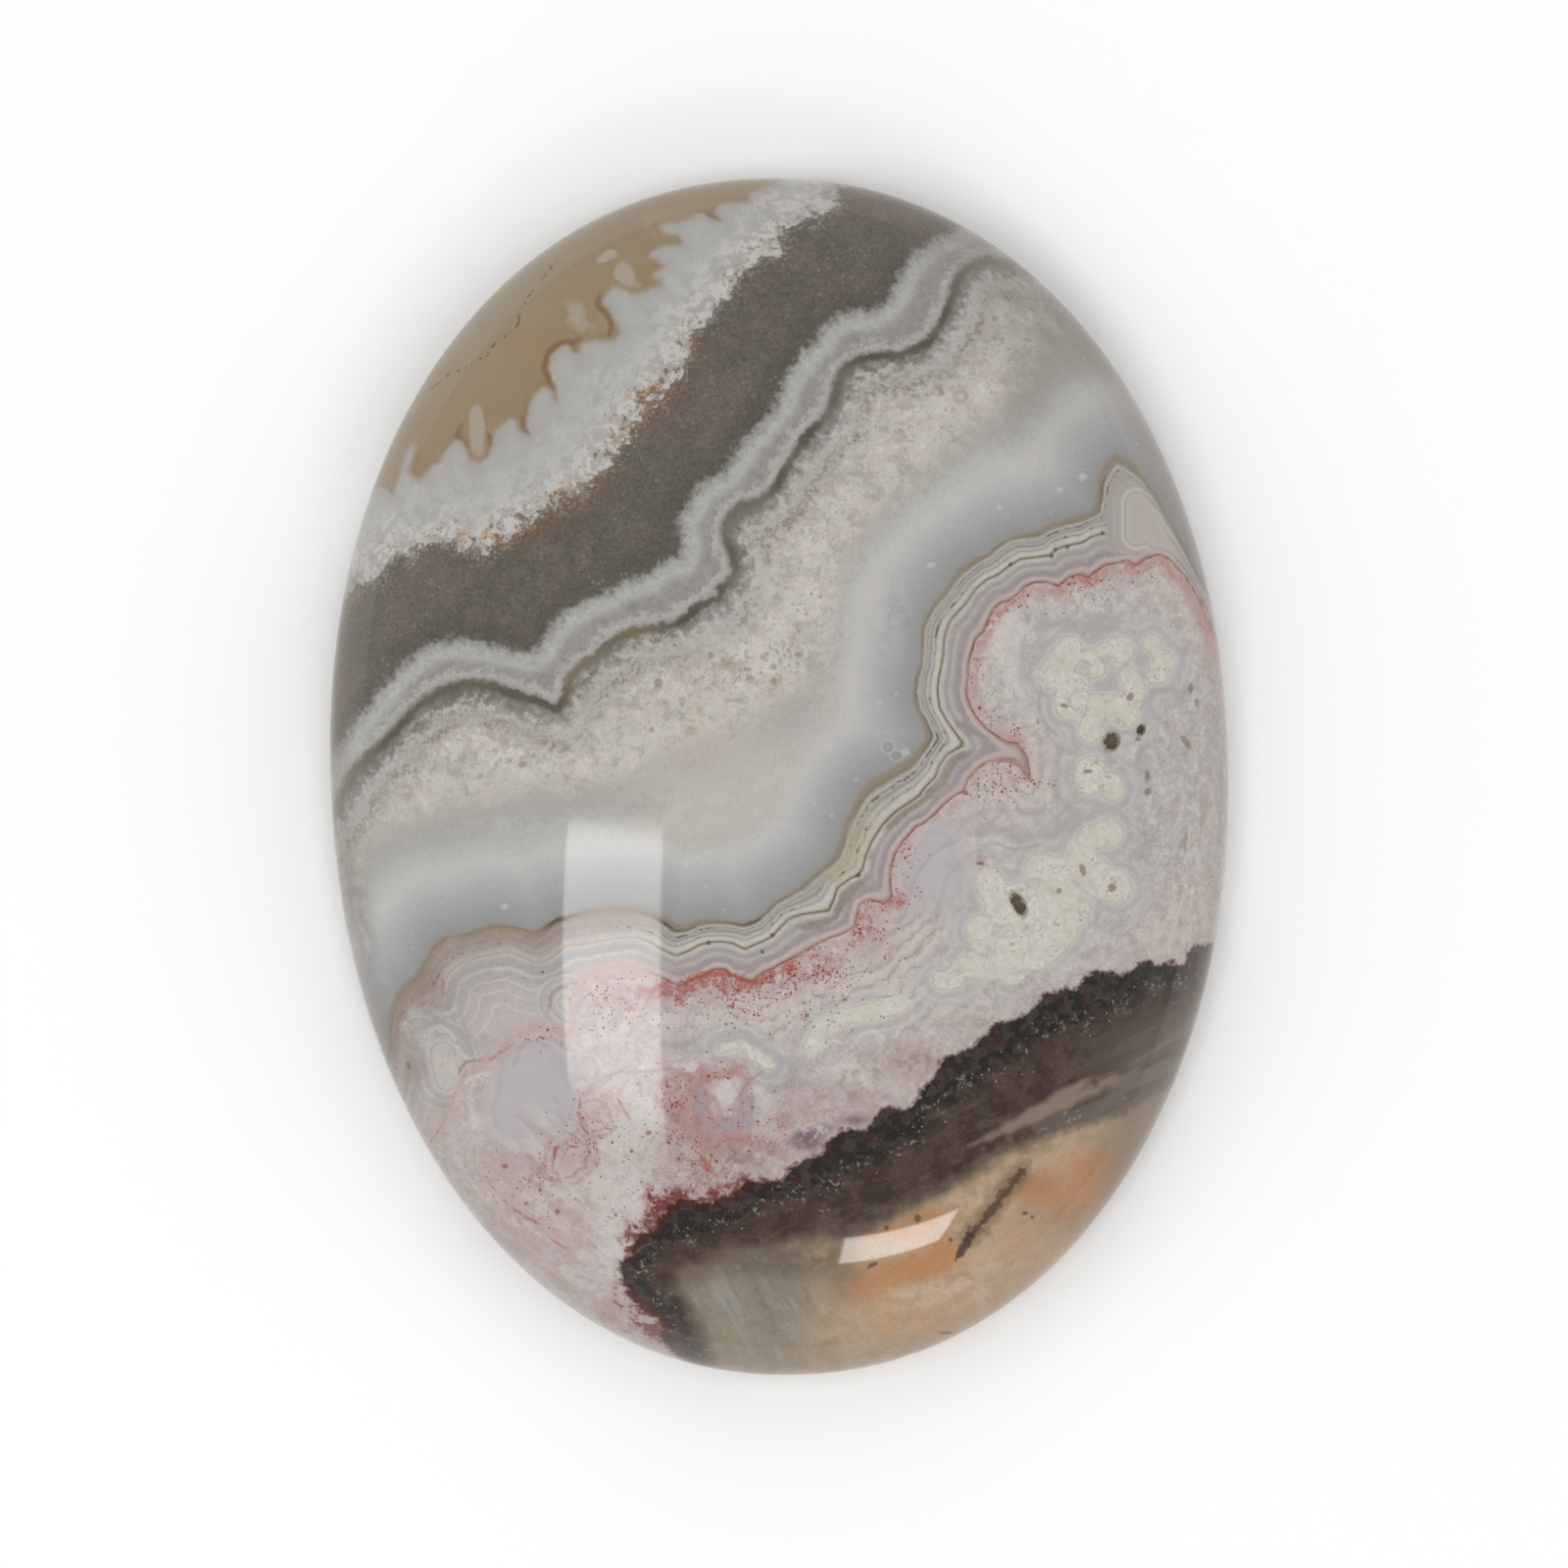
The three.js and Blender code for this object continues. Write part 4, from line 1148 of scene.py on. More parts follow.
contours = ramp(nodule_depth, [
    (-0.04, 186, 181, 171), (0.0, 178, 172, 163), (0.05, 197, 195, 190), (0.1, 186, 184, 181),
    (0.17, 173, 172, 170), (0.28, 172, 171, 169), (0.36, 182, 179, 177), (0.42, 190, 187, 184),
    (0.48, 180, 176, 174), (0.6, 175, 172, 171), (0.7, 184, 179, 177), (0.8, 178, 173, 171),
    (1.0, 182, 175, 172),
])
near = ease(nodules, 0.8, 0.4) * ease(lace_end, 0.3, 0.8) * ease(black_edge, -0.4, -1.2)
lower.coat(contours, near * ease(shaken(billow, cloud=0.5), 0.34, 0.5) * 0.75)
cream = paint((200, 195, 183), (207, 203, 195), ease(shaken(cloud, grain=0.4), 0.4, 0.58))
cream.coat((198, 198, 182), ease(billow, 0.5, 0.62) * 0.6)
cream.coat((184, 170, 160), ease(wool, 0.55, 0.66) * 0.5)
threads = noise(2.6, 2, 0.5, warp=1.0)
cream.coat((158, 144, 116), band(threads, 0.5, 0.006, 0.016) * ease(cloud, 0.46, 0.56) * 0.75)
cream = lit(cream, shaken(1, fine=0.2, grain=0.16) + (0.5 - large_grains[1]) * 0.14)
lower.coat(cream, ease(nodule_depth, 0.01, -0.07) * ease(lace_end, 0.0, 0.1) * 0.9)
gel_arcs = veins(3.6, [
    [(1045, 655), (1043, 670), (1045, 690)],
    [(1060, 640), (1075, 636), (1090, 635), (1115, 643), (1140, 636)],
    [(1168, 718), (1180, 705), (1195, 703), (1205, 712)],
    [(1075, 800), (1080, 815), (1090, 825), (1100, 830), (1107, 832), (1100, 835), (1090, 840), (1080, 847)],
    [(1000, 850), (1010, 846), (1020, 848), (1030, 853), (1040, 858), (1050, 852), (1070, 853), (1095, 843)],
    [(425, 1050), (440, 1043), (455, 1045), (467, 1055), (475, 1068), (480, 1078)],
    [(700, 1075), (720, 1072), (735, 1060), (760, 1058), (780, 1070), (800, 1084), (820, 1086)],
])
grey_threads = veins(1.6, [
    [(460, 1000), (457, 1015), (460, 1035), (468, 1050), (478, 1065), (482, 1075)],
    [(478, 1058), (473, 1045), (468, 1025), (470, 1005)], [(552, 1003), (560, 997), (575, 993), (585, 990)],
    [(1062, 700), (1060, 720), (1066, 738), (1075, 748)], [(500, 1000), (520, 994), (540, 1000)],
    [(525, 1085), (530, 1070), (540, 1062), (555, 1058), (570, 1063), (580, 1070)],
    [(818, 1110), (822, 1103), (830, 1108)], [(1045, 938), (1050, 945), (1045, 948)],
    [(1005, 862), (1018, 861), (1032, 867), (1045, 866), (1060, 862)],
    [(900, 960), (915, 948), (925, 930), (930, 905), (940, 885), (955, 868), (975, 858)],
    [(936, 975), (952, 955), (958, 930), (962, 905), (975, 885), (990, 872)],
])
white_threads = veins(1.8, [
    [(430, 1062), (440, 1050), (450, 1047), (460, 1053), (466, 1065), (470, 1075), (478, 1080)],
    [(1000, 895), (1005, 915), (1012, 930), (1017, 937)], [(1025, 883), (1040, 885), (1048, 892)],
    [(1092, 862), (1088, 870), (1090, 880)], [(840, 1068), (848, 1062), (858, 1064), (864, 1072)],
    [(872, 1065), (880, 1055), (890, 1052), (900, 1058)],
    [(910, 1062), (918, 1050), (930, 1046), (940, 1050)], [(628, 1120), (632, 1108), (645, 1105)],
    [(470, 1110), (480, 1100), (496, 1096)],
])
rose_threads = veins(1.8, [
    [(560, 1030), (562, 1015), (570, 1007), (585, 1003)],
    [(541, 1205), (545, 1197), (552, 1192), (560, 1195)],
    [(595, 1120), (610, 1102), (636, 1092), (660, 1094), (680, 1090), (698, 1096)],
    [(715, 1115), (728, 1120), (733, 1130), (738, 1142)], [(500, 1082), (510, 1075), (520, 1068)],
    [(775, 1095), (760, 1108), (752, 1122), (748, 1138)], [(686, 1100), (696, 1120), (692, 1140)],
])
brown_threads = veins(1.6, [
    [(467, 1100), (470, 1090), (477, 1083), (490, 1082)], [(452, 1000), (452, 1021)],
    [(993, 790), (1000, 782), (1010, 777), (1025, 773), (1035, 775)],
    [(405, 1050), (408, 1035), (418, 1028), (437, 1022)],
])
broken = ease(shaken(wool, grain=0.5), 0.36, 0.54)
lower.coat((166, 164, 163), ease(shaken(gel_arcs, wool=0.2), 0.12, -0.1) * 0.65)
lower.coat((160, 156, 155), ease(grey_threads, 0.06, -0.04) * broken * 0.6)
lower.coat((202, 198, 193), ease(white_threads, 0.06, -0.04) * broken * 0.65)
lower.coat((158, 120, 114), ease(shaken(rose_threads, grain=0.2), 0.08, -0.06) * broken * 0.55)
lower.coat((138, 116, 98), ease(shaken(brown_threads, grain=0.1), 0.06, -0.04) * broken * 0.6)

# Small botryoids with rosy skins lie along the lower left. Red grains of iron oxide, fine red and
# orange lines and a few larger blobs are strewn over the heart, most of them along the lace's end.
botryoids = lobes([
    (13, [(606, 1136), (610, 1140)]), (8, [(640, 1118), (645, 1112)]), (16, [(578, 1186), (584, 1180)]),
    (9, [(684, 1110)]),
], 0.05)
skins = shaken(botryoids, cloud=0.6, grain=0.3)
lower.coat(ramp(skins, [
    (-0.5, 184, 164, 158), (-0.2, 190, 178, 174), (-0.06, 184, 168, 164), (0.0, 164, 130, 122),
    (0.06, 176, 154, 149), (0.16, 188, 178, 174), (0.26, 174, 156, 155), (0.36, 166, 142, 138),
    (0.45, 180, 166, 162),
]), ease(botryoids, 0.42, 0.2) * ease(wool, 0.36, 0.5) * 0.6)
red_stain = stain([
    (740, 1008, 60, 20, 1.0), (830, 990, 50, 18, 0.8), (800, 1030, 50, 20, 0.4), (880, 930, 26, 20, 0.5),
    (640, 1010, 50, 14, 0.5), (622, 1030, 24, 24, 0.7), (690, 1130, 24, 34, 0.9), (600, 1165, 34, 20, 0.6),
    (600, 1140, 14, 24, 0.6), (675, 1235, 34, 22, 1.0), (745, 1218, 30, 12, 0.9), (1025, 745, 26, 14, 0.7),
    (1010, 800, 40, 18, 0.6), (996, 690, 10, 50, 0.5), (1035, 612, 30, 12, 0.6), (1110, 594, 26, 12, 0.9),
    (1170, 585, 30, 10, 0.5), (925, 870, 14, 26, 0.4), (850, 1035, 40, 14, 0.3), (770, 1150, 30, 24, 0.5),
    (545, 1060, 30, 16, 0.3), (545, 1215, 40, 30, 0.3), (715, 1180, 20, 16, 0.7), (740, 1092, 26, 10, 0.7),
])
red_lines = veins(1.5, [
    [(592, 1120), (590, 1138), (594, 1150), (602, 1158)],
    [(566, 1180), (567, 1172), (575, 1167), (585, 1170)], [(517, 1228), (530, 1238), (548, 1248)],
    [(642, 1352), (655, 1358), (662, 1362)], [(635, 1357), (645, 1360)],
    [(1226, 612), (1233, 630), (1238, 650)],
])
orange_lines = veins(1.4, [
    [(732, 1172), (735, 1164), (742, 1162), (755, 1163)],
    [(551, 1208), (553, 1202), (560, 1203), (572, 1206)], [(632, 1125), (638, 1134), (645, 1145)],
    [(562, 1264), (575, 1272), (580, 1275)],
])
red_blobs = veins(4, [
    [(700, 1001), (712, 996), (722, 994), (740, 993), (757, 999)], [(768, 1003), (780, 998)],
    [(692, 1019), (694, 1023)], [(718, 1184), (723, 1192)],
])
red_dots = marks([
    (732, 1006, 2, 2), (753, 1011, 3, 2), (751, 1020, 2, 2), (748, 1027, 2, 3), (786, 1002, 2, 2),
    (807, 990, 3, 2), (812, 1009, 2, 2), (846, 994, 3, 2), (823, 1036, 3, 3), (862, 1020, 3, 2),
    (515, 1190, 4, 3), (537, 1228, 3, 2), (569, 1236, 3, 3), (1000, 881, 5, 2), (681, 1108, 3, 3),
    (985, 809, 3, 3), (662, 1156, 4, 3),
])
speckled = (red_stain + crimson_stain * 0.8) * ease(lace_end, -0.02, 0.08) * ease(cloud, 0.34, 0.6)
lower.coat((158, 86, 72), dots(tiny_grains, speckled * 0.7 + 0.012, 0.5) * 0.85)
lower.coat((138, 56, 48), dots(small_grains, speckled * 0.3, 0.42) * 0.85)
lower.coat((146, 74, 60), ease(shaken(red_lines, grain=0.26), 0.05, -0.06) * broken * 0.7)
lower.coat((172, 104, 64), ease(shaken(orange_lines, grain=0.2), 0.05, -0.05) * broken * 0.7)
lower.coat((160, 84, 68), ease(shaken(red_blobs, grain=0.6), 0.06, -0.12) * 0.7)
lower.coat((142, 70, 58), ease(shaken(red_dots, grain=0.7), 1.1, 0.5) * 0.75)

# Iron and manganese oxide line the open vugs and stand as small tan and brown specks. Brown and pale
# streaks stand almost upright along the right-hand rim.
vug_lining = marks([(1134, 756, 8, 9, -25), (1164, 744, 4, 5, -30), (1039, 923, 6, 13, 28)])
pits = marks([
    (1161, 754, 3, 2), (1153, 711, 4, 4), (1135, 906, 4, 4), (1105, 888, 3, 6, 20), (1171, 791, 3, 5),
    (1171, 808, 3, 4), (1215, 702, 3, 5), (1221, 717, 2.5, 4), (1081, 909, 3, 3), (1210, 757, 8, 3, -50),
    (1086, 720, 4, 2, -10), (1111, 787, 5, 2),
])
brown_streaks = stain([
    (1205, 870, 18, 60, 1.0), (1220, 810, 16, 50, 0.8), (1195, 800, 10, 30, 0.6), (1215, 740, 16, 20, 0.5),
    (1225, 900, 14, 40, 0.8), (1150, 972, 16, 5, 0.6),
])
uprights = noise(2.3, 2, 0.55, stretch=3.5, turn=84)
lower.coat((151, 136, 122), ease(uprights, 0.55, 0.66) * brown_streaks * 0.65)
lower.coat((192, 184, 179), ease(uprights, 0.46, 0.36) * brown_streaks * 0.4)
lower.coat((134, 114, 92), ease(shaken(pits, grain=1.2), 1.3, 0.7) * 0.75)
lower.coat((150, 134, 108), ease(shaken(vug_lining, grain=0.4), 1.4, 1.0) * 0.6)
lower.coat((82, 64, 50), ease(shaken(vug_lining, grain=1.0, fine=0.5), 1.0, 0.8) * 0.9)
lower.coat((128, 112, 92), ease(shaken(vug_lining, fine=1.4), 0.5, 0.1) * 0.5)

# Black manganese oxide is lumpy on the near side, where a blood-red skin of iron oxide clings to it,
# and fades into brown on the far side.
brown_edge = front([
    (770, 1430), (722, 1380), (707, 1369), (699, 1354), (688, 1337), (675, 1324), (662, 1317), (658, 1307),
    (656, 1296), (662, 1283), (677, 1273), (699, 1261), (714, 1258), (729, 1251), (745, 1245), (761, 1243),
    (770, 1233), (786, 1226), (797, 1221), (816, 1222), (827, 1216), (845, 1215), (857, 1203), (859, 1195),
    (872, 1190), (893, 1183), (911, 1170), (927, 1165), (945, 1145), (952, 1129), (972, 1122), (983, 1106),
    (1001, 1099), (1017, 1090), (1035, 1078), (1057, 1062), (1066, 1056), (1084, 1047), (1102, 1044),
    (1118, 1035), (1127, 1026), (1148, 1024), (1161, 1017), (1170, 1006), (1191, 1008), (1207, 1001),
    (1222, 999), (1250, 990), (1280, 985),
])
blood_stain = stain([
    (668, 1246, 30, 20, 1.0), (690, 1228, 26, 14, 0.8), (740, 1222, 24, 12, 0.7), (645, 1272, 14, 14, 0.9),
    (655, 1222, 20, 14, 0.7), (645, 1338, 24, 26, 1.2), (672, 1350, 16, 12, 0.7), (765, 1207, 14, 10, 0.6),
    (845, 1170, 20, 10, 0.3), (900, 1140, 16, 10, 0.25), (1112, 984, 20, 8, 0.15),
])
spray_stain = stain([(832, 1152, 24, 18, 0.9), (860, 1132, 20, 14, 0.5), (905, 1110, 20, 14, 0.4)])
lumps = shaken(black_edge, wool=0.5, grain=0.26, fine=0.06)
lower.coat((198, 190, 187), ease(grain, 0.48, 0.58) * spray_stain * 0.75)
lower.coat((160, 142, 137), ease(lumps, -0.6, -0.05) * ease(grain, 0.46, 0.6) * 0.55)
blood = ease(blood_stain, 0.05, 0.5) * ease(shaken(wool, cloud=0.5), 0.34, 0.56)
lower.coat((158, 118, 114), ease(shaken(lumps, cloud=1.4), -1.0, -0.4) * blood * 0.5)
lower.coat((104, 36, 33), ease(shaken(lumps, grain=1.8, cloud=1.6), -0.6, -0.25) * blood * 0.85)
lower.coat((110, 76, 66), ease(lumps, -0.13, -0.02) * 0.7)
black = paint(
    (44, 40, 38), (64, 59, 56), ease(shaken(large_grains[0] * 0.5 + wool * 0.7, grain=0.5), 0.5, 0.8)
)
black.coat((72, 46, 40), ease(cloud, 0.56, 0.64) * 0.5)
black.coat((84, 36, 31), band(lumps, 0.06, 0.08, 0.14) * blood_stain * 0.7)
brown = paint((65, 52, 46), (80, 67, 59), ease(shaken(cloud, wool=0.5), 0.42, 0.6))
brown.coat((84, 62, 60), ease(billow, 0.52, 0.64) * 0.5)
brown.coat((98, 88, 78), ease(noise(2.0, 3, 0.6, stretch=5, turn=24), 0.54, 0.64) * 0.4)
far_side = ease(shaken(brown_edge, grain=0.4, wool=0.7), -0.2, 0.3)
dark = paint(black, brown, far_side)
dark = lit(dark, shaken(1, fine=0.7, grain=0.3))
# Painted glints: light grey and white specks near the brown edge, standing in for crystals that catch the
# light.
painted_glints = ease(shaken(grain, fine=0.4), 0.6, 0.68) * band(brown_edge, 0.0, 0.14, 0.4) * ease(cloud, 0.44, 0.54)
dark.coat((138, 132, 126), painted_glints * 0.7)
dark.coat((176, 172, 168), dots(tiny_grains, 0.03, 0.4) * band(brown_edge, 0.0, 0.5, 0.6) * 0.6)

# The last corner is pale chalcedony behind a tan lens: grey-green on one side, streaked down to the
# right, and orange and peach on the other, with dark dendrites.
corner_edge = front([
    (734, 1430), (722, 1375), (711, 1350), (703, 1328), (692, 1310), (698, 1299), (714, 1291), (730, 1284),
    (745, 1279), (761, 1273), (786, 1274), (800, 1269), (827, 1263), (845, 1260), (859, 1262), (879, 1258),
    (897, 1247), (915, 1236), (936, 1227), (954, 1220), (969, 1211), (983, 1201), (1002, 1190), (1016, 1180),
    (1030, 1173), (1048, 1167), (1066, 1158), (1089, 1148), (1111, 1143), (1130, 1138), (1145, 1131),
    (1159, 1122), (1180, 1112), (1200, 1100), (1240, 1080),
])
orange_stain = stain([
    (930, 1295, 44, 18, 1.0), (885, 1320, 26, 16, 0.6), (900, 1258, 50, 10, 0.9), (950, 1240, 30, 12, 0.8),
    (965, 1274, 18, 14, 0.9), (1122, 1192, 40, 30, 0.55), (1085, 1228, 44, 30, 0.6),
    (1030, 1262, 24, 24, 0.3), (1130, 1205, 30, 30, 0.6), (1052, 1212, 24, 14, 0.7), (868, 1300, 20, 26, 0.3),
    (960, 1350, 40, 12, 0.5),
])
ochre_patch = stain([
    (858, 1298, 24, 34, 1.0), (1095, 1245, 40, 20, 0.5), (900, 1244, 50, 8, 0.5), (1050, 1208, 24, 12, 0.6),
])
peach_stain = stain([
    (980, 1325, 60, 24, 0.9), (940, 1355, 70, 20, 0.7), (1060, 1285, 60, 30, 0.8), (1130, 1210, 40, 40, 0.7),
    (900, 1330, 24, 30, 0.5), (1010, 1240, 40, 24, 0.4),
])
green_stain = stain([
    (730, 1320, 44, 44, 1.0), (785, 1330, 34, 60, 0.9), (780, 1288, 40, 20, 0.8), (815, 1330, 24, 40, 0.5),
    (850, 1300, 20, 20, 0.4), (690, 1320, 24, 30, 1.0), (730, 1385, 40, 26, 0.6), (800, 1385, 50, 20, 0.4),
])
umber_stain = stain([
    (742, 1290, 36, 14, 1.0), (822, 1287, 36, 18, 1.1), (782, 1286, 30, 12, 0.7), (712, 1302, 20, 12, 0.6),
    (716, 1352, 10, 14, 0.8), (686, 1304, 16, 14, 0.6), (696, 1336, 10, 16, 0.7), (860, 1275, 24, 10, 0.5),
])
tan_lens = lobes([
    (1, [(988, 1170), (1010, 1160)]), (2.6, [(1010, 1160), (1030, 1150)]), (5, [(1030, 1150), (1055, 1138)]),
    (8, [(1055, 1138), (1085, 1123)]), (10, [(1085, 1122), (1112, 1110)]), (7, [(1112, 1109), (1136, 1101)]),
], 0.12)
grey_lens = lobes([
    (2, [(1003, 1172)]), (4, [(1030, 1163)]), (6, [(1060, 1150), (1085, 1142)]),
    (6, [(1085, 1142), (1145, 1120)]),
], 0.12)
trunk = veins(5, [[(979, 1279), (985, 1270), (990, 1262)]])
twig = veins(5, [[(990, 1262), (1003, 1246), (1014, 1231), (1027, 1214), (1042, 1196)]])
corner_spots = marks([
    (936, 1243, 5, 5), (1046, 1238, 4, 3), (1053, 1242, 3, 3), (905, 1253, 3, 3), (970, 1265, 3, 3),
    (1117, 1104, 5, 8, 15), (890, 1291, 8, 3, 30), (1027, 1165, 4, 3), (965, 1360, 9, 3),
])
diagonal = noise(1.4, 4, 0.6, stretch=5, turn=-63)
corner = paint((160, 139, 112), (178, 155, 129), ease(shaken(cloud, drift=1), 0.36, 0.64))
corner.coat((186, 153, 119), peach_stain * 0.95)
corner.coat((188, 172, 158), ease(diagonal, 0.54, 0.64) * peach_stain * 0.6)
corner.coat((180, 126, 82), ease(shaken(orange_stain, cloud=0.7, drift=0.4), 0.12, 1.0) * 0.85)
corner.coat((139, 110, 80), ochre_patch * ease(shaken(cloud, drift=1), 0.3, 0.6) * 0.8)
corner.coat((134, 127, 113), green_stain)
haze = shaken(diagonal, wool=0.3)
corner.coat((151, 146, 138), ease(haze, 0.5, 0.64) * green_stain * 0.75)
corner.coat((113, 105, 89), ease(haze, 0.48, 0.36) * green_stain * 0.55)
corner.coat((108, 96, 83), umber_stain * ease(shaken(cloud, wool=0.5), 0.24, 0.5) * 0.8)
pale_streak = stain([
    (935, 1324, 26, 8, 1.0), (975, 1312, 30, 8, 0.8), (1015, 1292, 24, 10, 0.6), (1000, 1222, 20, 8, 0.7),
])
corner.coat((198, 178, 160), pale_streak * ease(cloud, 0.36, 0.56) * 0.7)
corner.coat((150, 128, 108), ease(wool, 0.54, 0.66) * 0.3)
corner = lit(corner, shaken(1, fine=0.24, grain=0.2))
rind = shaken(corner_edge, cloud=0.4, wool=0.3)
dark.coat((122, 109, 95), ease(rind, -0.45, 0.1) * 0.6)
dark.coat(corner, ease(rind, -0.08, 0.42))
dark.coat((141, 127, 111), ease(shaken(tan_lens, cloud=0.24, grain=0.1), 0.1, -0.16) * 0.85)
dark.coat((106, 94, 84), ease(rightward, 9.2, 11.6) * ease(brown_edge, 0.3, 1.2) * 0.6)
streaks = noise(1.6, 3, 0.55, stretch=6, turn=24)
far_end = ease(rightward, 8.6, 10.6) * ease(brown_edge, 0.2, 0.9) * ease(rind, 0.3, -0.3)
dark.coat((128, 115, 102), ease(streaks, 0.5, 0.6) * far_end * 0.5)
dark.coat((78, 65, 57), ease(streaks, 0.46, 0.38) * far_end * 0.5)
dark.coat((103, 95, 87), ease(shaken(grey_lens, cloud=0.2), 0.08, -0.08) * 0.8)
dark.coat(
    (142, 136, 126), ease(grain, 0.58, 0.66) * ease(grey_lens, 0.1, -0.1) * ease(billow, 0.48, 0.56) * 0.7
)
dark.coat((124, 98, 76), ease(shaken(twig, cloud=0.4, grain=0.3), 0.36, 0.04) * 0.6)
dark.coat((84, 66, 52), ease(shaken(twig, grain=0.4, wool=0.3), 0.05, -0.1) * 0.9)
dark.coat((70, 55, 44), ease(shaken(trunk, grain=0.2), 0.04, -0.08) * 0.9)
dark.coat((84, 68, 56), ease(shaken(corner_spots, grain=0.9), 1.1, 0.4) * 0.75)

# A brown stain lies over the lace's left end.
brown_end = stain([
    (424, 1092, 14, 24, 1.0), (426, 1004, 22, 20, 0.9), (410, 1050, 12, 30, 0.8), (452, 1128, 10, 16, 0.5),
    (444, 1036, 20, 26, 0.5), (470, 1008, 24, 14, 0.3),
])
lower.coat((136, 112, 100), brown_end * ease(cloud, 0.3, 0.5) * 0.6)

# Painted shade, tinted brown, darkens the rim of the dome and the back. The whole surface has a high
# polish; the flat back is only fine ground and the vugs are rough.
BACK_RIM_SHADE = 0.94  # the whole back gets the painted rim shade that the dome has at this share of the radius
at_back = vertex_place[:, 2] < BACK_SKIN
# Painted rim shade: over the last tenth of the dome's radius and over the whole back the colour turns darker
# and browner.
painted_rim_shade = ease(shaken(keep(np.where(at_back, BACK_RIM_SHADE, dome_share.clip(0, 1))), cloud=0.03), 0.9, 1.01)
back = keep(at_back)
DEPTH_SHADE = 0.95  # the stone is a little translucent, so it gives back less than its face would
QUARTZ_IOR = 1.54


def polished(colour, rim_shade_strength, roughness):
    """A polished part of the stone, darkened and browned at the rim by painted shade of so much strength."""
    stained = lit(paint(colour, (104, 84, 62), painted_rim_shade * rim_shade_strength), DEPTH_SHADE)
    sockets = {"Base Color": stained, "Roughness": roughness, "IOR": QUARTZ_IOR}
    return stone.add("ShaderNodeBsdfPrincipled", None, sockets)


POLISH = 0.045  # roughness of the dome and the wall
BACK_ROUGHER = 0.3  # by so much is the back rougher
VUG_ROUGHER = 0.4  # and the lining of the vugs
ground = POLISH + BACK_ROUGHER * back
# The painted rim shade is weaker over the tan and the white.
upper_stone = polished(upper, 0.5 - ease(dark_edge, 0.0, -1.0) * 0.34, ground)
lower_stone = polished(lower, 0.34, ground + VUG_ROUGHER * ease(vug_lining, 1.0, 0.8))
last_stone = polished(dark, 0.35, ground)
in_black = ease(lumps, -0.035, 0.035)
shader = stone.add("ShaderNodeMixShader", None, {0: in_black, 1: lower_stone, 2: last_stone})
inside_lace = ease(shaken(lace_start, fine=0.08), -0.05, 0.05)
shader = stone.add("ShaderNodeMixShader", None, {0: inside_lace, 1: upper_stone, 2: shader})
output = agate.node_tree.nodes.new("ShaderNodeOutputMaterial")
agate.node_tree.links.new(shader.socket, output.inputs["Surface"])

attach(cabochon, "root")
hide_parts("cabochon")

# The floor is a plain white board, wide enough to fill the picture from every side. It shows no
# reflection of the lights.
FLOOR_REACH = 2  # m
board = bpy.data.materials.new("white board")
board.use_nodes = True
board_shader = board.node_tree.nodes["Principled BSDF"]
board_shader.inputs["Base Color"].default_value = (0.96, 0.96, 0.96, 1)
board_shader.inputs["Roughness"].default_value = 0.9
board_shader.inputs["Specular IOR Level"].default_value = 0.0
floor_mesh = bpy.data.meshes.new("floor")
floor_corners = [(x * FLOOR_REACH, y * FLOOR_REACH, 0) for x, y in ((-1, -1), (1, -1), (1, 1), (-1, 1))]
floor_mesh.from_pydata(floor_corners, [], [(0, 1, 2, 3)])
floor_mesh.materials.append(board)
floor = bpy.data.objects.new("floor", floor_mesh)
bpy.context.scene.collection.objects.link(floor)

# The room has a dim ceiling and lighter walls. Four broad lights and one overhead fill the shadows and
# don't show in the polish. Two small softboxes do: a long one that fades at both ends and a short one.
CEILING = 0.2
WALLS = 0.75
WALL_TOP = math.radians(50)  # where the walls have faded into the ceiling
WALL_FOOT = 0.1  # height in the sky up to which they keep their full strength
FILL_POWER = 2.05  # watts
FILL_SIDE = 0.7  # m
FILL_LEAN = math.radians(50)
# Places and sizes are in mm and turns in degrees. The fade is a share of the length at each end.
SOFTBOXES = [
    {
        "place": (-173.8, -123.1, 452.4),
        "turn": (36.37, 2.73, -1.35),
        "size": (126, 263),
        "radiance": 4.2,
        "fade": (0.3, 0.06),
    },
    {
        "place": (120.4, -356.6, 329.1),
        "turn": (-5.06, 7.96, -0.54),
        "size": (144, 78),
        "radiance": 7.0,
        "fade": None,
    },
]

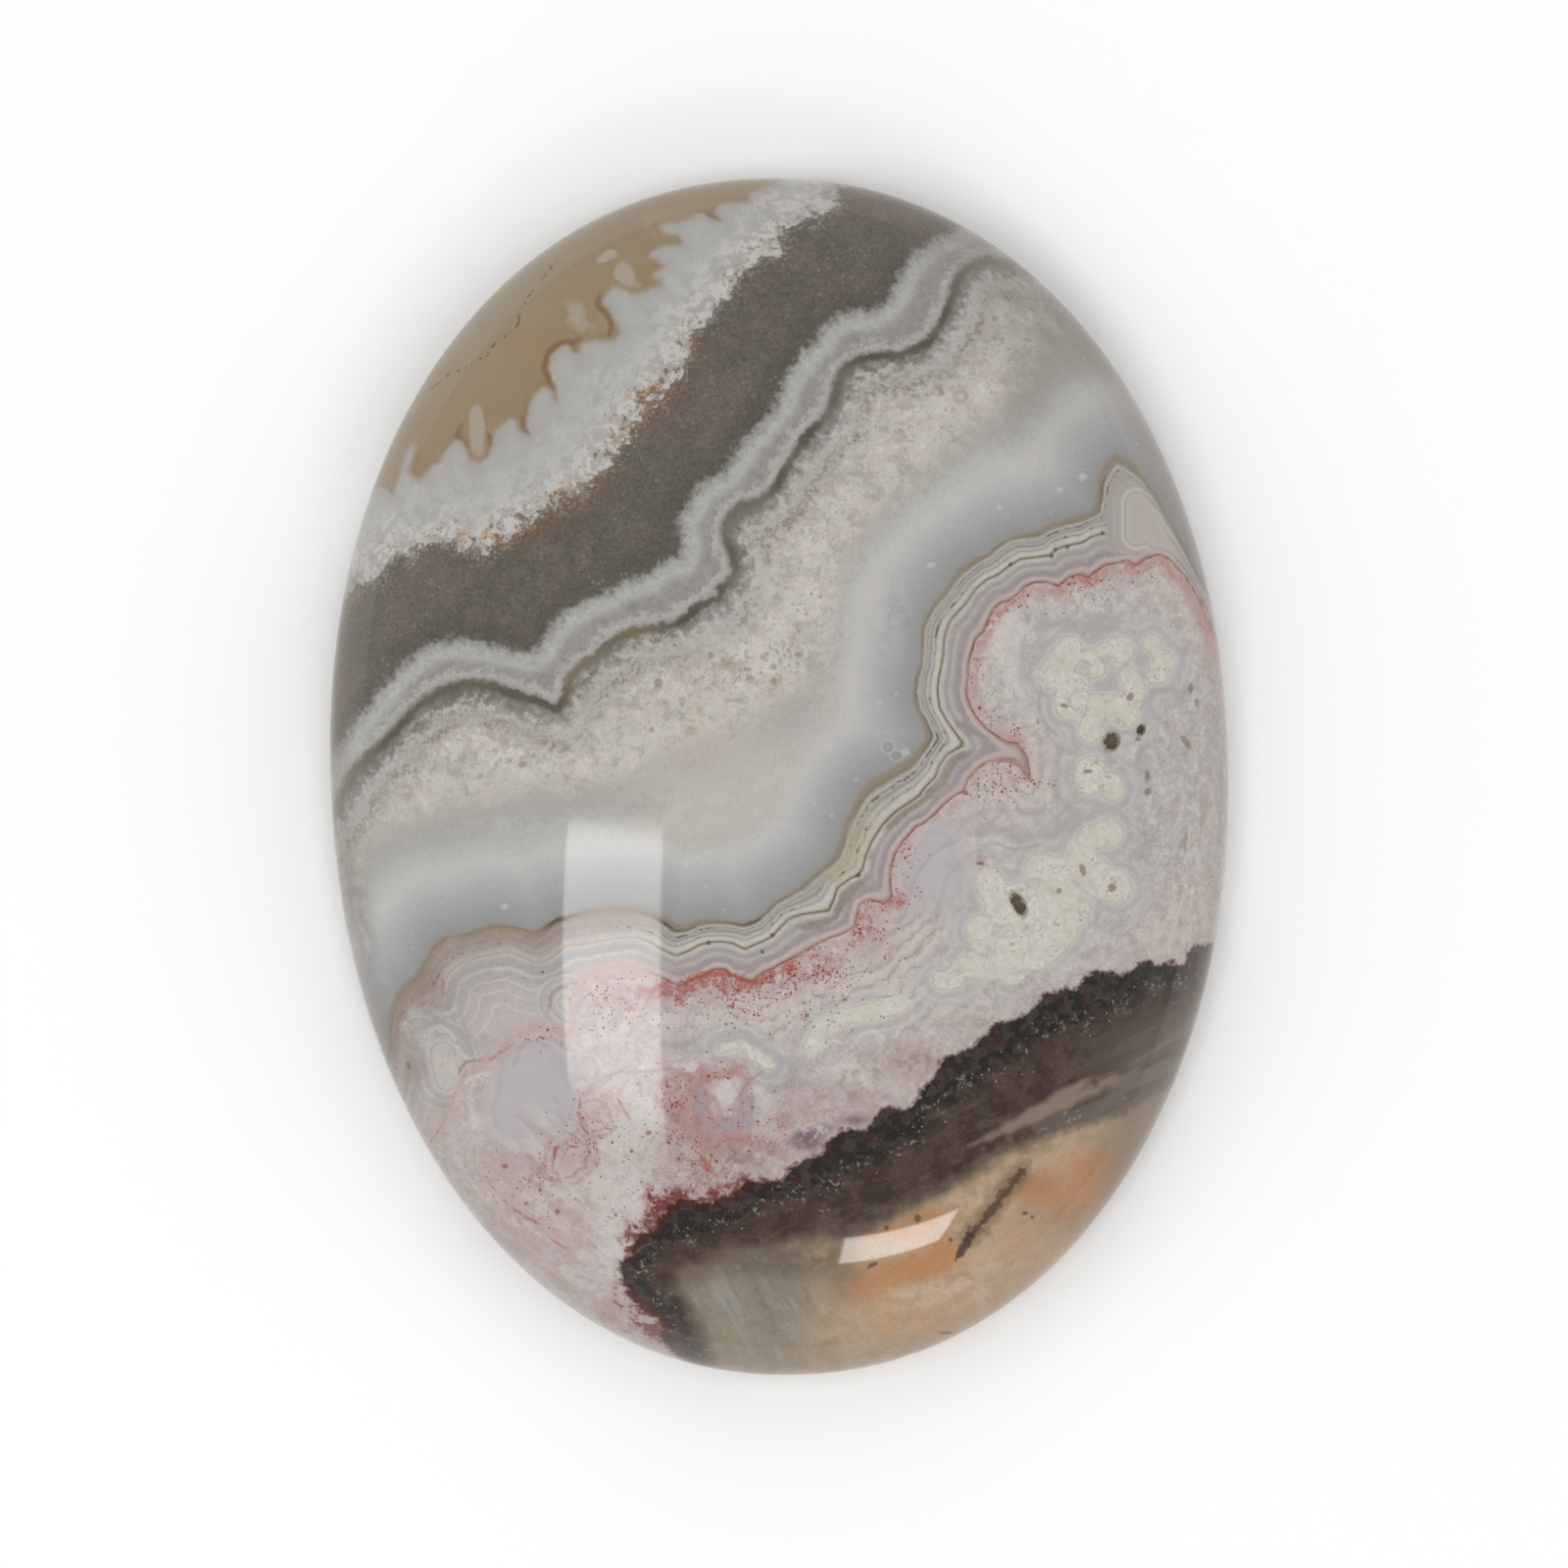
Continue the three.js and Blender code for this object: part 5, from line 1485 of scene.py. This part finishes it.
studio = bpy.data.worlds.new("studio")
bpy.context.scene.world = studio
studio.use_nodes = True
studio.node_tree.nodes.clear()
room = Wire(studio.node_tree)
up = room.add("ShaderNodeSeparateXYZ", None, {0: room.add("ShaderNodeTexCoord", out="Generated")}, out="Z")
strength = CEILING + (WALLS - CEILING) * ease(up, math.sin(WALL_TOP), WALL_FOOT)
sky = room.add("ShaderNodeBackground", None, {"Strength": strength})
studio_output = studio.node_tree.nodes.new("ShaderNodeOutputWorld")
studio.node_tree.links.new(sky.socket, studio_output.inputs["Surface"])
bpy.context.scene.view_settings.view_transform = "Standard"


def area_light(name, place, turn, size, watts):
    light = bpy.data.lights.new(name, "AREA")
    light.shape = "RECTANGLE"
    light.size, light.size_y = size
    light.energy = watts
    lamp = bpy.data.objects.new(name, light)
    lamp.location = place
    lamp.rotation_euler = turn
    bpy.context.scene.collection.objects.link(lamp)
    return lamp


for k in range(5):
    turn = k * math.pi / 2
    lean = FILL_LEAN if k < 4 else 0
    out = (math.sin(lean) * math.sin(turn), -math.sin(lean) * math.cos(turn), math.cos(lean))
    fill = area_light(f"fill_{k}", out, (lean, 0, turn), (FILL_SIDE, FILL_SIDE), FILL_POWER)
    fill.visible_glossy = False

for k, box in enumerate(SOFTBOXES):
    width, length = [side * MM for side in box["size"]]
    lamp = area_light(
        f"softbox_{k}",
        [value * MM for value in box["place"]],
        [math.radians(angle) for angle in box["turn"]],
        (width, length),
        box["radiance"] * math.pi * width * length,
    )
    if box["fade"]:
        light = lamp.data
        light.use_nodes = True
        light.node_tree.nodes.clear()
        glow = Wire(light.node_tree)
        across = glow.add("ShaderNodeNewGeometry", out="Parametric")
        split = glow.add("ShaderNodeSeparateXYZ", None, {0: across}).socket.node
        along = Wire(light.node_tree, split.outputs[1])
        fade = ease(along, 0.0, box["fade"][0]) * ease(along, 1.0, 1 - box["fade"][1])
        shine = glow.add("ShaderNodeEmission", None, {"Strength": fade})
        out = light.node_tree.nodes.new("ShaderNodeOutputLight")
        light.node_tree.links.new(shine.socket, out.inputs["Surface"])
